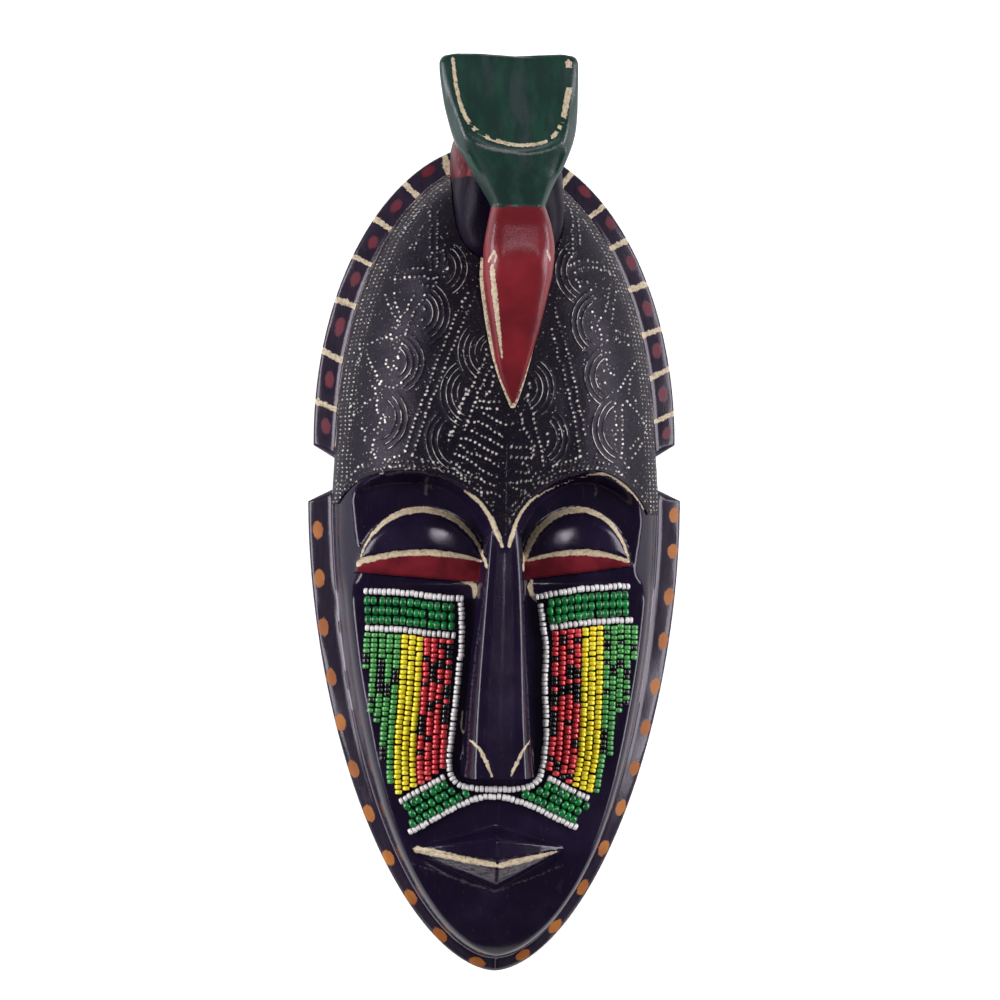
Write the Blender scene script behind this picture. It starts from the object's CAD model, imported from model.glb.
# %% [markdown]
# # A carved mask with a parrot, an embossed sheet and bead strings
# The frame gives every piece its place and size. This script only dresses it: each CAD
# solid is replaced by a finely carved, embossed or strung piece worked out with numpy from
# the mask's own measures, and each surface gets a procedural material. All working sizes
# are in millimetres and become metres when a mesh is made.

# %% Load the frame
import math

import bpy
import numpy as np
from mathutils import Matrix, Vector


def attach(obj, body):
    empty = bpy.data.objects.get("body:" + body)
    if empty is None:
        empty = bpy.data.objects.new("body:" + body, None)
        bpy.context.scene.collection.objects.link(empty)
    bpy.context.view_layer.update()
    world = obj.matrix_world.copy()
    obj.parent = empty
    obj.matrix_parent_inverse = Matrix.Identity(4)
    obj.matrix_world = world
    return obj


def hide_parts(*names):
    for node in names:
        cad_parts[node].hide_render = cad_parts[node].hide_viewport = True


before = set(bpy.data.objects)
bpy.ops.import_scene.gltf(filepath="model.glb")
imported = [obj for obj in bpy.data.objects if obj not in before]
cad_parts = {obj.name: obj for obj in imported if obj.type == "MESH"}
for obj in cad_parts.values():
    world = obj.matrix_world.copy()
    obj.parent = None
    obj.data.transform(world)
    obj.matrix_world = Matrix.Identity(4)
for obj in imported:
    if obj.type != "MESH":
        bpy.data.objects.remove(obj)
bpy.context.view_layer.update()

# %% [markdown]
# ## Small drawing tools
# A carver thinks in smooth curves through a few known heights. These helpers do that for
# whole arrays at once, so every later shape is a short formula.

# %% Curves and blends for whole arrays
def blend(a, b, share):
    """a + (b - a) * share, for numbers or arrays."""
    return a + (b - a) * share


def ease(low, high, v):
    """0 below low, 1 above high, and 3t^2 - 2t^3 between them."""
    t = np.clip((v - low) / (high - low), 0, 1)
    return t * t * (3 - 2 * t)


def smooth_curve(stations):
    """A cubic through (position, value) stations whose slopes are harmonic means, so it
    never overshoots. Returns a function of an array of positions."""
    x, y = np.array(stations, float).T
    slope = np.diff(y) / np.diff(x)
    tangent = np.r_[slope[0], np.zeros(len(x) - 2), slope[-1]]
    before, after = slope[:-1], slope[1:]
    same_way = before * after > 0
    both = np.where(same_way, before + after, 1)
    tangent[1:-1] = np.where(same_way, 2 * before * after / both, 0)

    def value(p):
        v = np.clip(p, x[0], x[-1])
        i = np.clip(np.searchsorted(x, v) - 1, 0, len(x) - 2)
        h = x[i + 1] - x[i]
        t = (v - x[i]) / h
        return ((2 * t**3 - 3 * t**2 + 1) * y[i] + (t**3 - 2 * t**2 + t) * h * tangent[i]
                + (3 * t**2 - 2 * t**3) * y[i + 1] + (t**3 - t**2) * h * tangent[i + 1])

    return value


def run_along(x, y):
    """Length of the path through the points (x, y), from the first one to each."""
    return np.r_[0, np.cumsum(np.hypot(np.diff(x), np.diff(y)))]


def soft_max(a, b, crease):
    """The higher of two surfaces, with the line where they meet filled over `crease` mm."""
    near = np.clip(crease - np.abs(a - b), 0, None) / crease
    return np.maximum(a, b) + near * near * crease / 4


def waver(x, y, size, seed):
    """Slow random unevenness between about -1 and 1: 18 cosine waves in random directions,
    each about `size` mm long."""
    rng = np.random.default_rng(seed)
    turn = rng.uniform(0, math.pi, 18)
    wave = 2 * math.pi / (size * rng.uniform(0.7, 1.6, 18))
    phase = rng.uniform(0, 2 * math.pi, 18)
    total = np.zeros(np.shape(x))
    for t, w, p in zip(turn, wave, phase):
        total += np.cos((np.cos(t) * x + np.sin(t) * y) * w + p)
    return total / 6


# %% Meshes from arrays
def make_piece(name, points_mm, face_sets):
    """One smoothly shaded object at the origin, from points in mm and arrays of faces, each
    (count, corners)."""
    mesh = bpy.data.meshes.new(name)
    mesh.vertices.add(len(points_mm))
    mesh.vertices.foreach_set("co", (points_mm * 0.001).astype(np.float32).ravel())
    sizes = np.concatenate([np.full(len(f), f.shape[1]) for f in face_sets])
    mesh.loops.add(int(sizes.sum()))
    corners = np.concatenate([f.ravel() for f in face_sets])
    mesh.loops.foreach_set("vertex_index", corners.astype(np.int32))
    mesh.polygons.add(len(sizes))
    starts = np.r_[0, np.cumsum(sizes)[:-1]]
    mesh.polygons.foreach_set("loop_start", starts.astype(np.int32))
    mesh.polygons.foreach_set("use_smooth", np.full(len(sizes), True))
    mesh.update(calc_edges=True)
    mesh.validate()
    piece = bpy.data.objects.new(name, mesh)
    bpy.context.scene.collection.objects.link(piece)
    return piece


def weld(points, quads):
    """Merge points closer than 0.0002 mm; quads with a merged side become triangles and
    faces without area go."""
    keys = np.round(points / 2e-4).astype(np.int64)
    _, first, number = np.unique(keys, axis=0, return_index=True, return_inverse=True)
    q = number.reshape(-1)[quads]
    same = q == np.roll(q, -1, axis=1)
    whole = q[same.sum(1) == 0]
    whole = whole[(whole[:, 0] != whole[:, 2]) & (whole[:, 1] != whole[:, 3])]
    pinched, side = q[same.sum(1) == 1], same[same.sum(1) == 1].argmax(1)
    pick = (side[:, None] + np.array([1, 2, 3])) % 4
    tris = np.take_along_axis(pinched, pick, axis=1)
    tris = tris[(tris[:, 0] != tris[:, 1]) & (tris[:, 1] != tris[:, 2])
                & (tris[:, 0] != tris[:, 2])]
    return points[first], [f for f in (whole, tris) if len(f)]


def ring_quads(rows, columns):
    """Faces between closed rings that follow each other: ring r, point c joins c + 1."""
    r, c = np.meshgrid(np.arange(rows - 1), np.arange(columns), indexing="ij")
    a, b = r * columns + c, r * columns + (c + 1) % columns
    return np.stack([a, b, b + columns, a + columns], -1).reshape(-1, 4)


def give(piece, name, values):
    """Store one number per point, which a material reads by its name."""
    attribute = piece.data.attributes.new(name, "FLOAT", "POINT")
    attribute.data.foreach_set("value", np.asarray(values, np.float32))


# %% [markdown]
# ## The mask's outline and plain front
# The real mask is cut from one block: an oval board whose outer border is left thin as a
# flat rim, with the face and forehead standing up from it. The same half-widths and rises
# that shaped the CAD solid are repeated here, so the carved skin lies where the solid does.

# %% Outline of the wall and the rim
chin_y, tail_y = -207.5, 207.5
crown_y, wall_crown_y, wall_chin_y = 177.5, 167.5, -201.0
notch_start, notch_low, notch_high, notch_end = 11.0, 16.5, 31.0, 37.0
face_half, forehead_half = 75.0, 73.0
chin_rim_half, crown_rim_half, notch_rim = 86.7, 84.2, 0.7
rim_inner_z, rim_outer_z = 14.0, 10.0
back_rim = 9.0


def pointed(y, wide, low, half, fall):
    """Half-width that narrows from `wide` to a soft point at `low`: half(1 - t^fall)^0.57."""
    t = np.clip((wide - y) / (wide - low), 0, 1)
    return half * (1 - t**fall) ** (1 / 1.76)


def arched(y, wide, top, half):
    """Half-width of an elliptic arch: half * sqrt(1 - t^2)."""
    t = np.clip((y - wide) / (top - wide), 0, 1)
    return half * np.sqrt(1 - t * t)


def wall_half(y):
    """Half-width of the face and forehead where they meet the rim."""
    face = pointed(y, wide=20, low=wall_chin_y, half=face_half, fall=2.16)
    forehead = arched(y, wide=35, top=wall_crown_y, half=forehead_half)
    return blend(face, forehead, ease(5, 50, y))


def rim_half(y):
    """Half-width of the rim's outer edge, with the notch beside the eyes."""
    low = pointed(y, wide=notch_start, low=chin_y, half=chin_rim_half, fall=1.88)
    high = arched(y, wide=39, top=crown_y, half=crown_rim_half)
    notch = wall_half(y) + notch_rim
    into = blend(low, notch, np.clip((y - notch_start) / (notch_low - notch_start), 0, 1))
    out = blend(notch, high, np.clip((y - notch_high) / (notch_end - notch_high), 0, 1))
    return np.where(y < notch_low, into, np.where(y < notch_high, notch, out))


def past_foot(x, y, half=None):
    """Distance in mm outward from the foot of the wall, negative over the face. The foot is
    at wall_half(y) unless another half-width is given."""
    lean = wall_half(y + 0.5) - wall_half(y - 0.5)
    return (np.abs(x) - (wall_half(y) if half is None else half)) / np.hypot(1, lean)


# %% Height of the plain front
face_rise = smooth_curve([
    (-201, 0), (-197.8, 12), (-190, 20), (-178, 26.6), (-163, 31), (-148, 33.5),
    (-120, 33), (-80, 33), (-30, 34), (20, 34)])
forehead_rise = smooth_curve([
    (-30, 40), (0, 46), (30, 51.5), (60, 54.5), (90, 53), (115, 48), (135, 40),
    (150, 31), (160, 20.5), (165, 12), (167.5, 0)])
bridge_x, nose_tip_x = 1.5, -1.0
wall_round = 7.5
keel_high, keel_half = 2, 26
dome_power = 2.7


def centre_x(y):
    """The middle of nose and mouth leans a little to the left of the crown."""
    return blend(nose_tip_x, bridge_x, ease(-100, 0, y))


def side_round(inset):
    """Share of the full height that is reached `inset` mm in from the foot of the wall:
    (1 - s^2.2)^0.77, where s falls from 1 to 0 over the rounding."""
    s = 1 - np.clip(inset / wall_round, 0, 1)
    return (1 - s**2.2) ** (1 / 1.3)


def camber(s):
    """The face falls back a little toward its sides."""
    return 1 - 0.17 * s**2.2


def front_height(x, y):
    """Rim height + the flat rounded face, which turns into the domed forehead over the eyes."""
    half = np.maximum(0.5, wall_half(y))
    inset = np.maximum(0, -past_foot(x, y, half))
    s = np.minimum(1, np.abs(x) / half)
    face = face_rise(y) * camber(s) * side_round(inset * blend(1.5, 1, ease(-165, -80, y)))
    keel = keel_high * np.maximum(0, 1 - np.abs(x - bridge_x) / keel_half) * ease(95, 50, y)
    dome = forehead_rise(y) * (1 - s**dome_power) ** 0.5 + keel * ease(-40, 0, y)
    return rim_inner_z + blend(face, dome, ease(-36, -18, y))


print("front height at the forehead:", float(front_height(np.array(0.0), np.array(60.0))))

# %% [markdown]
# ## Eyes, nose and lips
# On the real face the sockets are scooped out first, then the closed eyes are left standing
# as domes with a ledge at the lashes. Nose and lips are faceted blocks. Each feature is a
# height over (x, y), and the highest surface wins, with a small fillet in the crease.

# %% Sockets
eyes = [
    dict(side=-1, x=-35.5, inner=30.5, outer=30.0, brow_x=-37.5, brow_inner=38.4,
         brow_outer=38.4, power=3.0, slope=-0.085, low=-23.6),
    dict(side=1, x=36.5, inner=27.5, outer=24.5, brow_x=39.0, brow_inner=37.5,
         brow_outer=34.0, power=2.0, slope=0.12, low=-21.5)]
brow_y, brow_tall = -20.0, 44.0
eye_base, eye_tall, lash_y = -24.0, 32.2, -10.5
cheek_rise, socket_sink = 34, 4.5
# The height of a feature where it isn't there, far under every other surface.
nothing = -999.0


def inside_brow(eye, x, y):
    """Distance in mm to the brow arch, positive inside the socket. The arch is an ellipse
    whose outer half may be squared; below the eye it is flattened."""
    across = (x - eye["brow_x"]) * eye["side"]
    outward = across >= 0
    p = np.where(outward, eye["power"], 2.0)
    a = np.where(outward, eye["brow_outer"], eye["brow_inner"])
    b = np.where(y > brow_y, brow_tall, 0.4 * brow_tall)
    u, v = np.abs(across) / a + 1e-6, np.abs(y - brow_y) / b + 1e-6
    g = (u**p + v**p) ** (1 / p)
    steep = np.hypot(u ** (p - 1) / a, v ** (p - 1) / b) / g ** (p - 1)
    return (1 - g) / np.maximum(steep, 1e-4)


def socket_floor(x, y):
    """The face's own height, sunk 4.5 mm under the eye and running out into the cheek."""
    half = wall_half(y)
    side = side_round(np.maximum(0, half - np.abs(x)))
    face = face_rise(y) * camber(np.minimum(1, np.abs(x) / half)) * side
    sink = blend(-2, socket_sink, ease(-37, -26, y))
    return rim_inner_z + 0.4 + np.maximum(0, face - sink * side)


def carve_socket(z, eye, x, y):
    """Scoop from the front down to the floor within a cove under the brow."""
    cove = ease(-0.3, 5.5, inside_brow(eye, x, y)) ** 0.8
    return blend(z, np.minimum(z, socket_floor(x, y)), cove)


# %% Closed eyes
# Height over the socket: of the upper lid from its top (0) down to the lashes (1), and of
# the lower lid from the lashes (0) to its lower edge (1).
upper_lid = smooth_curve([(0, 0.4), (0.08, 2.7), (0.27, 5.3), (0.46, 6.65), (0.85, 7.7),
                          (1, 7.9)])
lower_lid = [(0, 7.3), (0.06, 6.2), (0.16, 5.9), (0.6, 4.9), (0.93, 3.2), (1, 2.4), (1.12, -2)]


def eye_lines(eye, x):
    """Top of the dome, lash ledge and lower edge of the lid at each x, and the fullness
    left there (1 in the middle, 0 at the corners)."""
    across = (x - eye["x"]) * eye["side"]
    u = np.clip(across / np.where(across < 0, eye["inner"], eye["outer"]), -1, 1)
    arch = np.sqrt(1 - u * u)
    top = eye_base + eye_tall * arch
    lash = np.minimum(lash_y - 5 * u * u, top - 0.4)
    low = np.minimum(eye["low"] + eye["slope"] * (x - eye["x"]), lash - 0.5)
    return top, lash, low, arch


def eye_height(eye, x, y):
    """A domed upper lid that overhangs the lashes, and a lower lid that falls back."""
    top, lash, low, arch = eye_lines(eye, x)
    floor = rim_inner_z + cheek_rise * camber(np.abs(x) / face_half) - socket_sink
    full = arch**0.7
    dome = upper_lid(np.clip((top - y) / np.maximum(top - lash, 0.3), 0, 1))
    lid = (lash - y) / np.maximum(lash - low, 0.3)
    lower = np.interp(lid, *np.array(lower_lid).T)
    inside = (y < top) & (lid < lower_lid[-1][0]) & (arch > 0.02)
    return np.where(inside, floor + np.where(y > lash, dome, lower) * full, nothing)


# %% Nose and lips
nose_root, nose_tip = 2.0, -113.0
nose_root_half, nose_tip_half = 7.0, 16.3
nose_root_z, nose_tip_z, nose_foot_z = 58.5, 72.0, 40.0
# Drop below the ridge by the share of the half-width, out to the brink of the steep side.
nose_bevel = [(0, 0), (0.45, 0.35), (0.71, 1.3), (0.83, 4.6), (0.94, 9.5)]
mouth = dict(x=-1.7, left=-41.0, right=31.0, corner=-146.5, ridge=59.0)


def nose_half(y):
    """Half-width of the nose, and the share of the way from its root to its tip."""
    along = np.clip((nose_root - y) / (nose_root - nose_tip), 0, 1)
    return blend(nose_root_half, nose_tip_half, along**0.62), along


def nose_height(x, y):
    """A flat ridge with a bevel and steep sides, ending square at the tip."""
    half, along = nose_half(y)
    top = blend(nose_root_z, nose_tip_z, along)
    u = np.abs(x - centre_x(y)) / half
    z = top - np.interp(u, *np.array(nose_bevel).T)
    brink, drop = nose_bevel[-1]
    side = blend(top - drop, nose_foot_z, np.clip((u - brink) / 0.1, 0, 1))
    z = np.where(u > brink, side, z)
    there = (u < 1.05) & (y >= nose_tip) & (y < nose_root + 14)
    return np.where(there, z, nothing)


def mouth_share(x):
    """1 at the middle of the mouth, 0 at its corners."""
    left = (x - mouth["left"]) / (mouth["x"] - mouth["left"])
    right = (mouth["right"] - x) / (mouth["right"] - mouth["x"])
    return np.clip(np.minimum(left, right), 0, 1)


groove_below, groove_deep = 21.6, 1.2
# Section through the middle of the mouth, with its heights over or under the ridge.
lip_y = [-166.0, -162.0, -154.4, -153.2, -151.6, -150.0, -141.8, -138.6, -135.6]
lip_rise = [-14.5, -7.5, -0.6, -1.8, -1.8, 0.1, -1.2, -6.6, -13.5]


def lip_height(x, y):
    """Two wedges that meet in the groove of the mouth; the whole section shrinks toward the
    corners and sinks into the cheek."""
    f = mouth_share(x)
    full_y = mouth["corner"] + (y - mouth["corner"]) / np.maximum(f, 0.02)
    cheek = front_height(x, np.full_like(y, mouth["corner"]))
    rise = np.interp(full_y, lip_y, lip_rise)
    z = blend(cheek - 1, mouth["ridge"] + rise, f**0.9)
    there = (f > 0.01) & (full_y > lip_y[0]) & (full_y < lip_y[-1])
    return np.where(there, z, nothing)


def chin_groove(x, y):
    """A hollow under the lower lip that ends in a crisp edge and is shallow under the
    middle of the mouth; its depth in mm."""
    f = np.clip(mouth_share(x) + 0.03, 0.02, 1)
    below = mouth["corner"] - y - groove_below * f**0.82
    depth = groove_deep * np.exp(np.minimum(below, 0) / 3.5) * ease(1.6, -1.2, below)
    depth = depth * (1 - 0.85 * np.exp(-((x - mouth["x"]) / 4) ** 2))
    return depth * ease(0.02, 0.2, mouth_share(x)) * ease(0, -1.5, y - mouth["corner"])


# %% The whole carved front
def carved_front(x, y):
    """Plain front, minus sockets, plus eyes, nose and lips, with the knife's unevenness."""
    z = front_height(x, y)
    for eye in eyes:
        z = carve_socket(z, eye, x, y)
    for eye in eyes:
        z = soft_max(z, eye_height(eye, x, y), 0.4)
    z = soft_max(z - chin_groove(x, y), lip_height(x, y), 1.1)
    nose = nose_height(x, y)
    smoothed = np.where(nose > z, 0.2, 1.0)
    z = soft_max(z, nose, 1.2)
    inset = np.clip((wall_half(y) - np.abs(x)) / 8, 0, 1)
    hand = 0.16 * waver(x, y, 26, 4) + 0.04 * waver(x, y, 9, 5)
    return z + hand * inset * smoothed


# %% [markdown]
# ## The wood as one closed skin
# A grid of stations runs round the mask. Each station is a line from the middle of the face
# out to the foot of the wall, over the rim and back underneath into the hollow. Between the
# eyes and chin the lines are level rows, and at each end they fan out. The steps along a
# line are dense where the nose turns and at the wall, so the edges come out crisp.

# %% Rows, fans and steps
pole_high, pole_low = 112.0, -172.0
ridge_steps, side_steps, cheek_steps, wall_steps = 12, 5, 52, 15
front_count = ridge_steps + side_steps + cheek_steps + wall_steps
wall_zone = 7.4


def spaced(*stops):
    """Heights from stop to stop; each stop is (height, spacing used down to the next)."""
    parts = []
    for (a, step), (b, _) in zip(stops[:-1], stops[1:]):
        count = max(1, int(round(abs(b - a) / step)))
        parts.append(np.linspace(a, b, count, endpoint=False))
    return np.concatenate(parts + [[stops[-1][0]]])


row_y = spaced((pole_high, 1.8), (notch_end, 1.2), (notch_high, 1.3), (notch_low, 1.0),
               (notch_start, 0.8), (-30, 1.2), (nose_tip + 0.05, 0.25),
               (nose_tip - 0.2, 1.05), (-133, 0.62), (pole_low, 1))


def front_steps(y, side):
    """Distances from the centre line out to the wall along a row: 12 steps to the edge of
    the nose, 5 down its side, 52 over the cheek and 15 closing up round the wall."""
    half, nose = wall_half(y), nose_half(y)[0]
    lean = side * centre_x(y)
    edge = np.minimum(0.8 * nose + lean, 0.22 * half)
    foot = np.minimum(1.06 * nose + lean, 0.3 * half)
    ridge = edge[:, None] * np.linspace(0, 1, ridge_steps, endpoint=False)
    down = blend(edge[:, None], foot[:, None], np.linspace(0, 1, side_steps, endpoint=False))
    start = (half - wall_zone)[:, None]
    cheek = blend(foot[:, None], start, np.linspace(0, 1, cheek_steps, endpoint=False))
    wall = half[:, None] - wall_zone * (1 - np.linspace(0, 1, wall_steps + 1)) ** 2.2
    return np.concatenate([ridge, down, cheek, wall], axis=1)


def level_rows(side):
    """Foot, rim edge and back edge of every row on one side, and the front's steps."""
    y = row_y
    foot = np.c_[side * wall_half(y), y]
    edge = np.c_[side * rim_half(y), y]
    back = np.c_[side * (wall_half(y) - back_rim), y]
    steps = front_steps(y, side)
    return dict(anchor=np.c_[0 * y, y], foot=foot, edge=edge, back=back,
                share=steps / steps[:, -1:])


def fan(pole, wall_tip, edge_tip, back_tip, rays, start_side):
    """Rays from a pole round an end of the mask, from one side to the other."""
    angle = math.pi * np.arange(1, rays + 1) / (rays + 1)
    reach = np.sin(angle) ** 0.9
    side = np.where(np.abs(np.cos(angle)) < 1e-6, 0, start_side * np.sign(np.cos(angle)))

    def at(tip, half):
        y = blend(pole, tip, reach)
        return np.c_[side * half(y), y]

    foot = at(wall_tip, wall_half)
    back = np.c_[foot[:, 0] * (1 - back_rim / wall_half(np.array(pole))),
                 blend(pole, back_tip, reach)]
    ends = [front_steps(np.array([pole]), s)[0] for s in (start_side, -start_side)]
    ends = [e / e[-1] for e in ends]
    share = blend(ends[0], ends[1], ease(0, math.pi, angle)[:, None])
    return dict(anchor=np.tile([0.0, pole], (rays, 1)), foot=foot,
                edge=at(edge_tip, rim_half), back=back, share=share)


right, left = level_rows(1), level_rows(-1)
left = {k: v[::-1] for k, v in left.items()}
crown = fan(pole_high, wall_crown_y, crown_y, wall_crown_y - back_rim, rays=45, start_side=-1)
chin = fan(pole_low, wall_chin_y, chin_y, wall_chin_y + back_rim + 1, rays=37, start_side=1)
around = {k: np.concatenate([crown[k], right[k], chin[k], left[k]]) for k in crown}
print("stations round the mask:", len(around["foot"]))

# %% Rings from the front over the rim into the hollow
hollow_rise = smooth_curve([
    (-191, 0), (-183, 11), (-165, 20), (-130, 27), (-60, 30), (0, 33), (45, 43),
    (90, 43), (120, 35), (140, 24), (152, 12), (158.5, 0)])
# Shares of the way over the rim, (inset, height) down its edge and onto the back, and shares
# of the way from the middle of the hollow out to the rim.
rim_shares = (0.12, 0.3, 0.5, 0.7, 0.86)
edge_section = ((0.8, 10.2), (0.3, 9.8), (0.07, 9.2), (0, 8.4), (0, 3), (0, 1.2), (0.35, 0.3),
                (1.0, 0))
hollow_shares = (1, 0.985, 0.96, 0.92, 0.86, 0.78, 0.68, 0.56, 0.44, 0.32, 0.2, 0.1, 0)


def mask_skin():
    """Points of all rings, from the middle of the front to the middle of the hollow."""
    anchor, foot, edge = around["anchor"], around["foot"], around["edge"]
    rings = []
    for k in range(front_count):
        p = blend(anchor, foot, around["share"][:, k:k + 1])
        rings.append(np.c_[p, carved_front(p[:, 0], p[:, 1])])
    inward = (anchor - edge) / np.linalg.norm(anchor - edge, axis=1)[:, None]
    width = np.linalg.norm(foot - edge, axis=1)[:, None]
    for f in rim_shares:
        p = blend(foot, edge, f)
        z = blend(rim_inner_z, rim_outer_z, f) + 0.1 * math.sin(math.pi * f)
        rings.append(np.c_[p, np.full(len(p), z) + 0.12 * waver(p[:, 0], p[:, 1], 22, 8)])
    for inset, z in edge_section:
        p = edge + inward * np.minimum(inset, 0.45 * width)
        rings.append(np.c_[p, np.full(len(p), float(z))])
    for f in hollow_shares:
        p = blend(anchor, around["back"], f)
        z = hollow_rise(anchor[:, 1]) * (1 - f**2.6) ** (1 / 1.9)
        z = z + (0.5 * waver(p[:, 0], p[:, 1], 16, 9) * min(1, (1 - f) * 6) if f < 1 else 0)
        rings.append(np.c_[p, np.maximum(z, 0)])
    return np.concatenate(rings), len(rings)


skin_points, skin_rings = mask_skin()
skin_points, skin_faces = weld(skin_points, ring_quads(skin_rings, len(around["foot"])))
print("mask skin faces:", [len(f) for f in skin_faces])

# %% [markdown]
# ## The parrot
# The bird is carved from the same block: a square tail that stands above the crown, a head
# that looks down the forehead to its beak, and a round body under both. Each is a loft, one
# bevelled profile carried along the mask's height with its own width, top and underside.

# %% Lofts for the tail, the head and the body
# Each row holds its height on the mask, middle, half-width, top and underside.
tail_rows = [
    (tail_y, 1.4, 24.5, 94, 83), (206.9, 1.4, 27.9, 95.2, 81), (205.5, 1.3, 29.8, 96, 79.5),
    (203, 1.2, 30.6, 96.8, 79), (187, 1.9, 29.6, 100, 75), (175, 2.9, 27.8, 103.5, 70),
    (168, 3.4, 25.8, 105.8, 66), (163, 4.1, 23.3, 107, 62), (157, 4.9, 20.0, 104, 58),
    (150, 5.4, 15.7, 98.5, 56), (141.5, 6.2, 11.7, 93, 54),
    (132, 6, 9, 88, 52)]
head_rows = [
    (149, 5.2, 9.6, 91.5, 52), (141, 6, 12, 93, 52), (131, 6.3, 14.4, 96, 52),
    (122, 6.2, 15.6, 97, 52), (112, 5.8, 15.2, 95.5, 52), (104, 5.4, 14, 93.5, 52),
    (87, 4.8, 10.7, 88, 54), (69.5, 4, 6.4, 80, 58), (58, 4.3, 2.2, 74.3, 62),
    (54.7, 4.4, 0.7, 72.6, 64)]
body_rows = [
    (177, 3.4, 23.2, 62, 11), (171, 3.6, 24.6, 67, 11), (160, 3.8, 24.9, 70, 12),
    (148, 4.0, 25.0, 70, 30), (137, 4.3, 24.2, 68.5, 40), (127, 4.5, 21, 66.5, 46),
    (120, 4.6, 15.4, 64, 48)]
bevelled = [(0, 1), (0.5, 0.995), (0.82, 0.965), (1, 0.8), (0.97, 0.45), (0.86, 0)]
domed = [(0, 1), (0.45, 0.975), (0.8, 0.88), (0.97, 0.68), (1, 0.4), (1, 0)]


def half_profile(corners, count):
    """The right half of a section as (share of half-width, share of height), smoothed."""
    u, v = np.array(corners, float).T
    run = run_along(u, v)
    t = np.linspace(0, run[-1], count)
    across, up = smooth_curve(np.c_[run, u])(t), smooth_curve(np.c_[run, v])(t)
    return across, up


def loft(rows, corners, spacing, count, grow, relief):
    """Rings down the parrot: each is the profile scaled by the row's half-width and height.
    `relief` may raise a point by its own formula of (x, y, share across, share up)."""
    rows = np.array(rows[::-1], float)
    y = spaced((rows[-1, 0], spacing), (rows[0, 0], spacing))
    x, half, top, bottom = [smooth_curve(rows[:, [0, k]])(y)[:, None] for k in (1, 2, 3, 4)]
    u, v = half_profile(corners, count)
    u, v = np.r_[u, -u[:0:-1]], np.r_[v, v[:0:-1]]
    y = np.repeat(y[:, None], len(u), 1)
    px = x + u * (half + grow)
    pz = blend(bottom - grow, top + grow, v)
    if relief is not None:
        pz = pz + relief(px, y, u, v)
    points = np.stack([px, y, pz], -1)
    ends = [np.repeat(points[i].mean(0)[None], len(u), 0) for i in (0, -1)]
    points = np.concatenate([ends[0], points.reshape(-1, 3), ends[1]])
    return weld(points, ring_quads(len(points) // len(u), len(u)))


tail_top = smooth_curve([(row[0], row[3]) for row in tail_rows[::-1]])


def tail_relief(x, y, u, v):
    """The ridge across the tail curves down in the middle, the top edge dips, and the
    gouge has left shallow flutes."""
    bend = 0.0135 * (x - 4) ** 2 * ease(200, 172, y) * ease(150, 158, y)
    bent = tail_top(y - bend) - tail_top(y)
    flutes = 0.3 * np.cos((x - 2) * 0.42) * ease(168, 180, y)
    dish = -1.6 * (1 - u**2) * ease(168, 206, y)
    return (bent + flutes + dish) * ease(0.9, 0.97, v)


def head_relief(x, y, u, v):
    """Two soft swellings for the bird's eyes, and slow unevenness."""
    swell = np.exp(-((np.abs(x - 6.2) - 8.2) / 3.6) ** 2 - ((y - 116) / 6.5) ** 2)
    return 1.3 * swell * ease(0.8, 0.95, v) + 0.1 * waver(x, y, 14, 12) * ease(0.7, 0.9, v)


def body_relief(x, y, u, v):
    """Slow unevenness of the bird's body."""
    return 0.35 * waver(x, y, 12, 13) * ease(0.2, 0.5, v)


filler_proud, filler_deep = 1.8, 9
filler_rows = []
for y, x, half in ((122, 5.0, 14.4), (112, 4.9, 14.9), (104, 4.7, 14.2), (87, 4.3, 11.4),
                   (69.5, 4.0, 7.2), (58, 4.3, 3.3), (52.6, 4.4, 1.0)):
    top = float(front_height(np.array(x), np.array(y))) + filler_proud
    filler_rows.append((y, x, half, top, top - filler_deep))
slab = [(0, 1), (0.8, 0.99), (0.95, 0.95), (1, 0.86), (1, 0.4), (1, 0)]
# Rows, profile, spacing of the rings, points of the half profile and relief of each solid.
bird_solids = [(tail_rows, bevelled, 0.9, 34, tail_relief),
               (head_rows, bevelled, 1.1, 24, head_relief),
               (body_rows, domed, 1.6, 22, body_relief),
               (filler_rows, slab, 1.2, 12, None)]


def parrot_lofts(grow=0.0, coarser=1.0):
    """The four overlapping solids of the parrot; coarser and fatter ones cut the sheet. The
    tail's end is pulled in a little right of its middle, where the real one dips."""
    solids = [loft(rows, profile, spacing * coarser, int(count / coarser) + 2, grow, relief)
              for rows, profile, spacing, count, relief in bird_solids]
    tail_points = solids[0][0]
    dip = np.exp(-((tail_points[:, 0] - 7) / 11) ** 2) * ease(195, tail_y, tail_points[:, 1])
    tail_points[:, 1] -= 1.1 * dip
    return solids


# %% [markdown]
# ## Joining the carving into one piece of wood
# The lofts and the mask overlap, so a Boolean union makes them one closed skin, as the one
# block is. The Manifold solver is exact enough and takes about a second.

# %% Union of the mask and the parrot
def combine(piece, others, operation):
    """Apply a Boolean with each other object in turn, then delete the others."""
    for other in others:
        step = piece.modifiers.new("join", "BOOLEAN")
        step.operation, step.solver, step.object = operation, "MANIFOLD", other
        graph = bpy.context.evaluated_depsgraph_get()
        result = bpy.data.meshes.new_from_object(piece.evaluated_get(graph))
        piece.modifiers.clear()
        piece.data = result
    for other in others:
        bpy.data.objects.remove(other)


def coordinates(mesh):
    """Points of a mesh in mm."""
    flat = np.empty(len(mesh.vertices) * 3, np.float32)
    mesh.vertices.foreach_get("co", flat)
    return flat.reshape(-1, 3).astype(float) * 1000


def triangle_count(piece):
    sizes = np.empty(len(piece.data.polygons), np.int32)
    piece.data.polygons.foreach_get("loop_total", sizes)
    return int((sizes - 2).sum())


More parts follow.
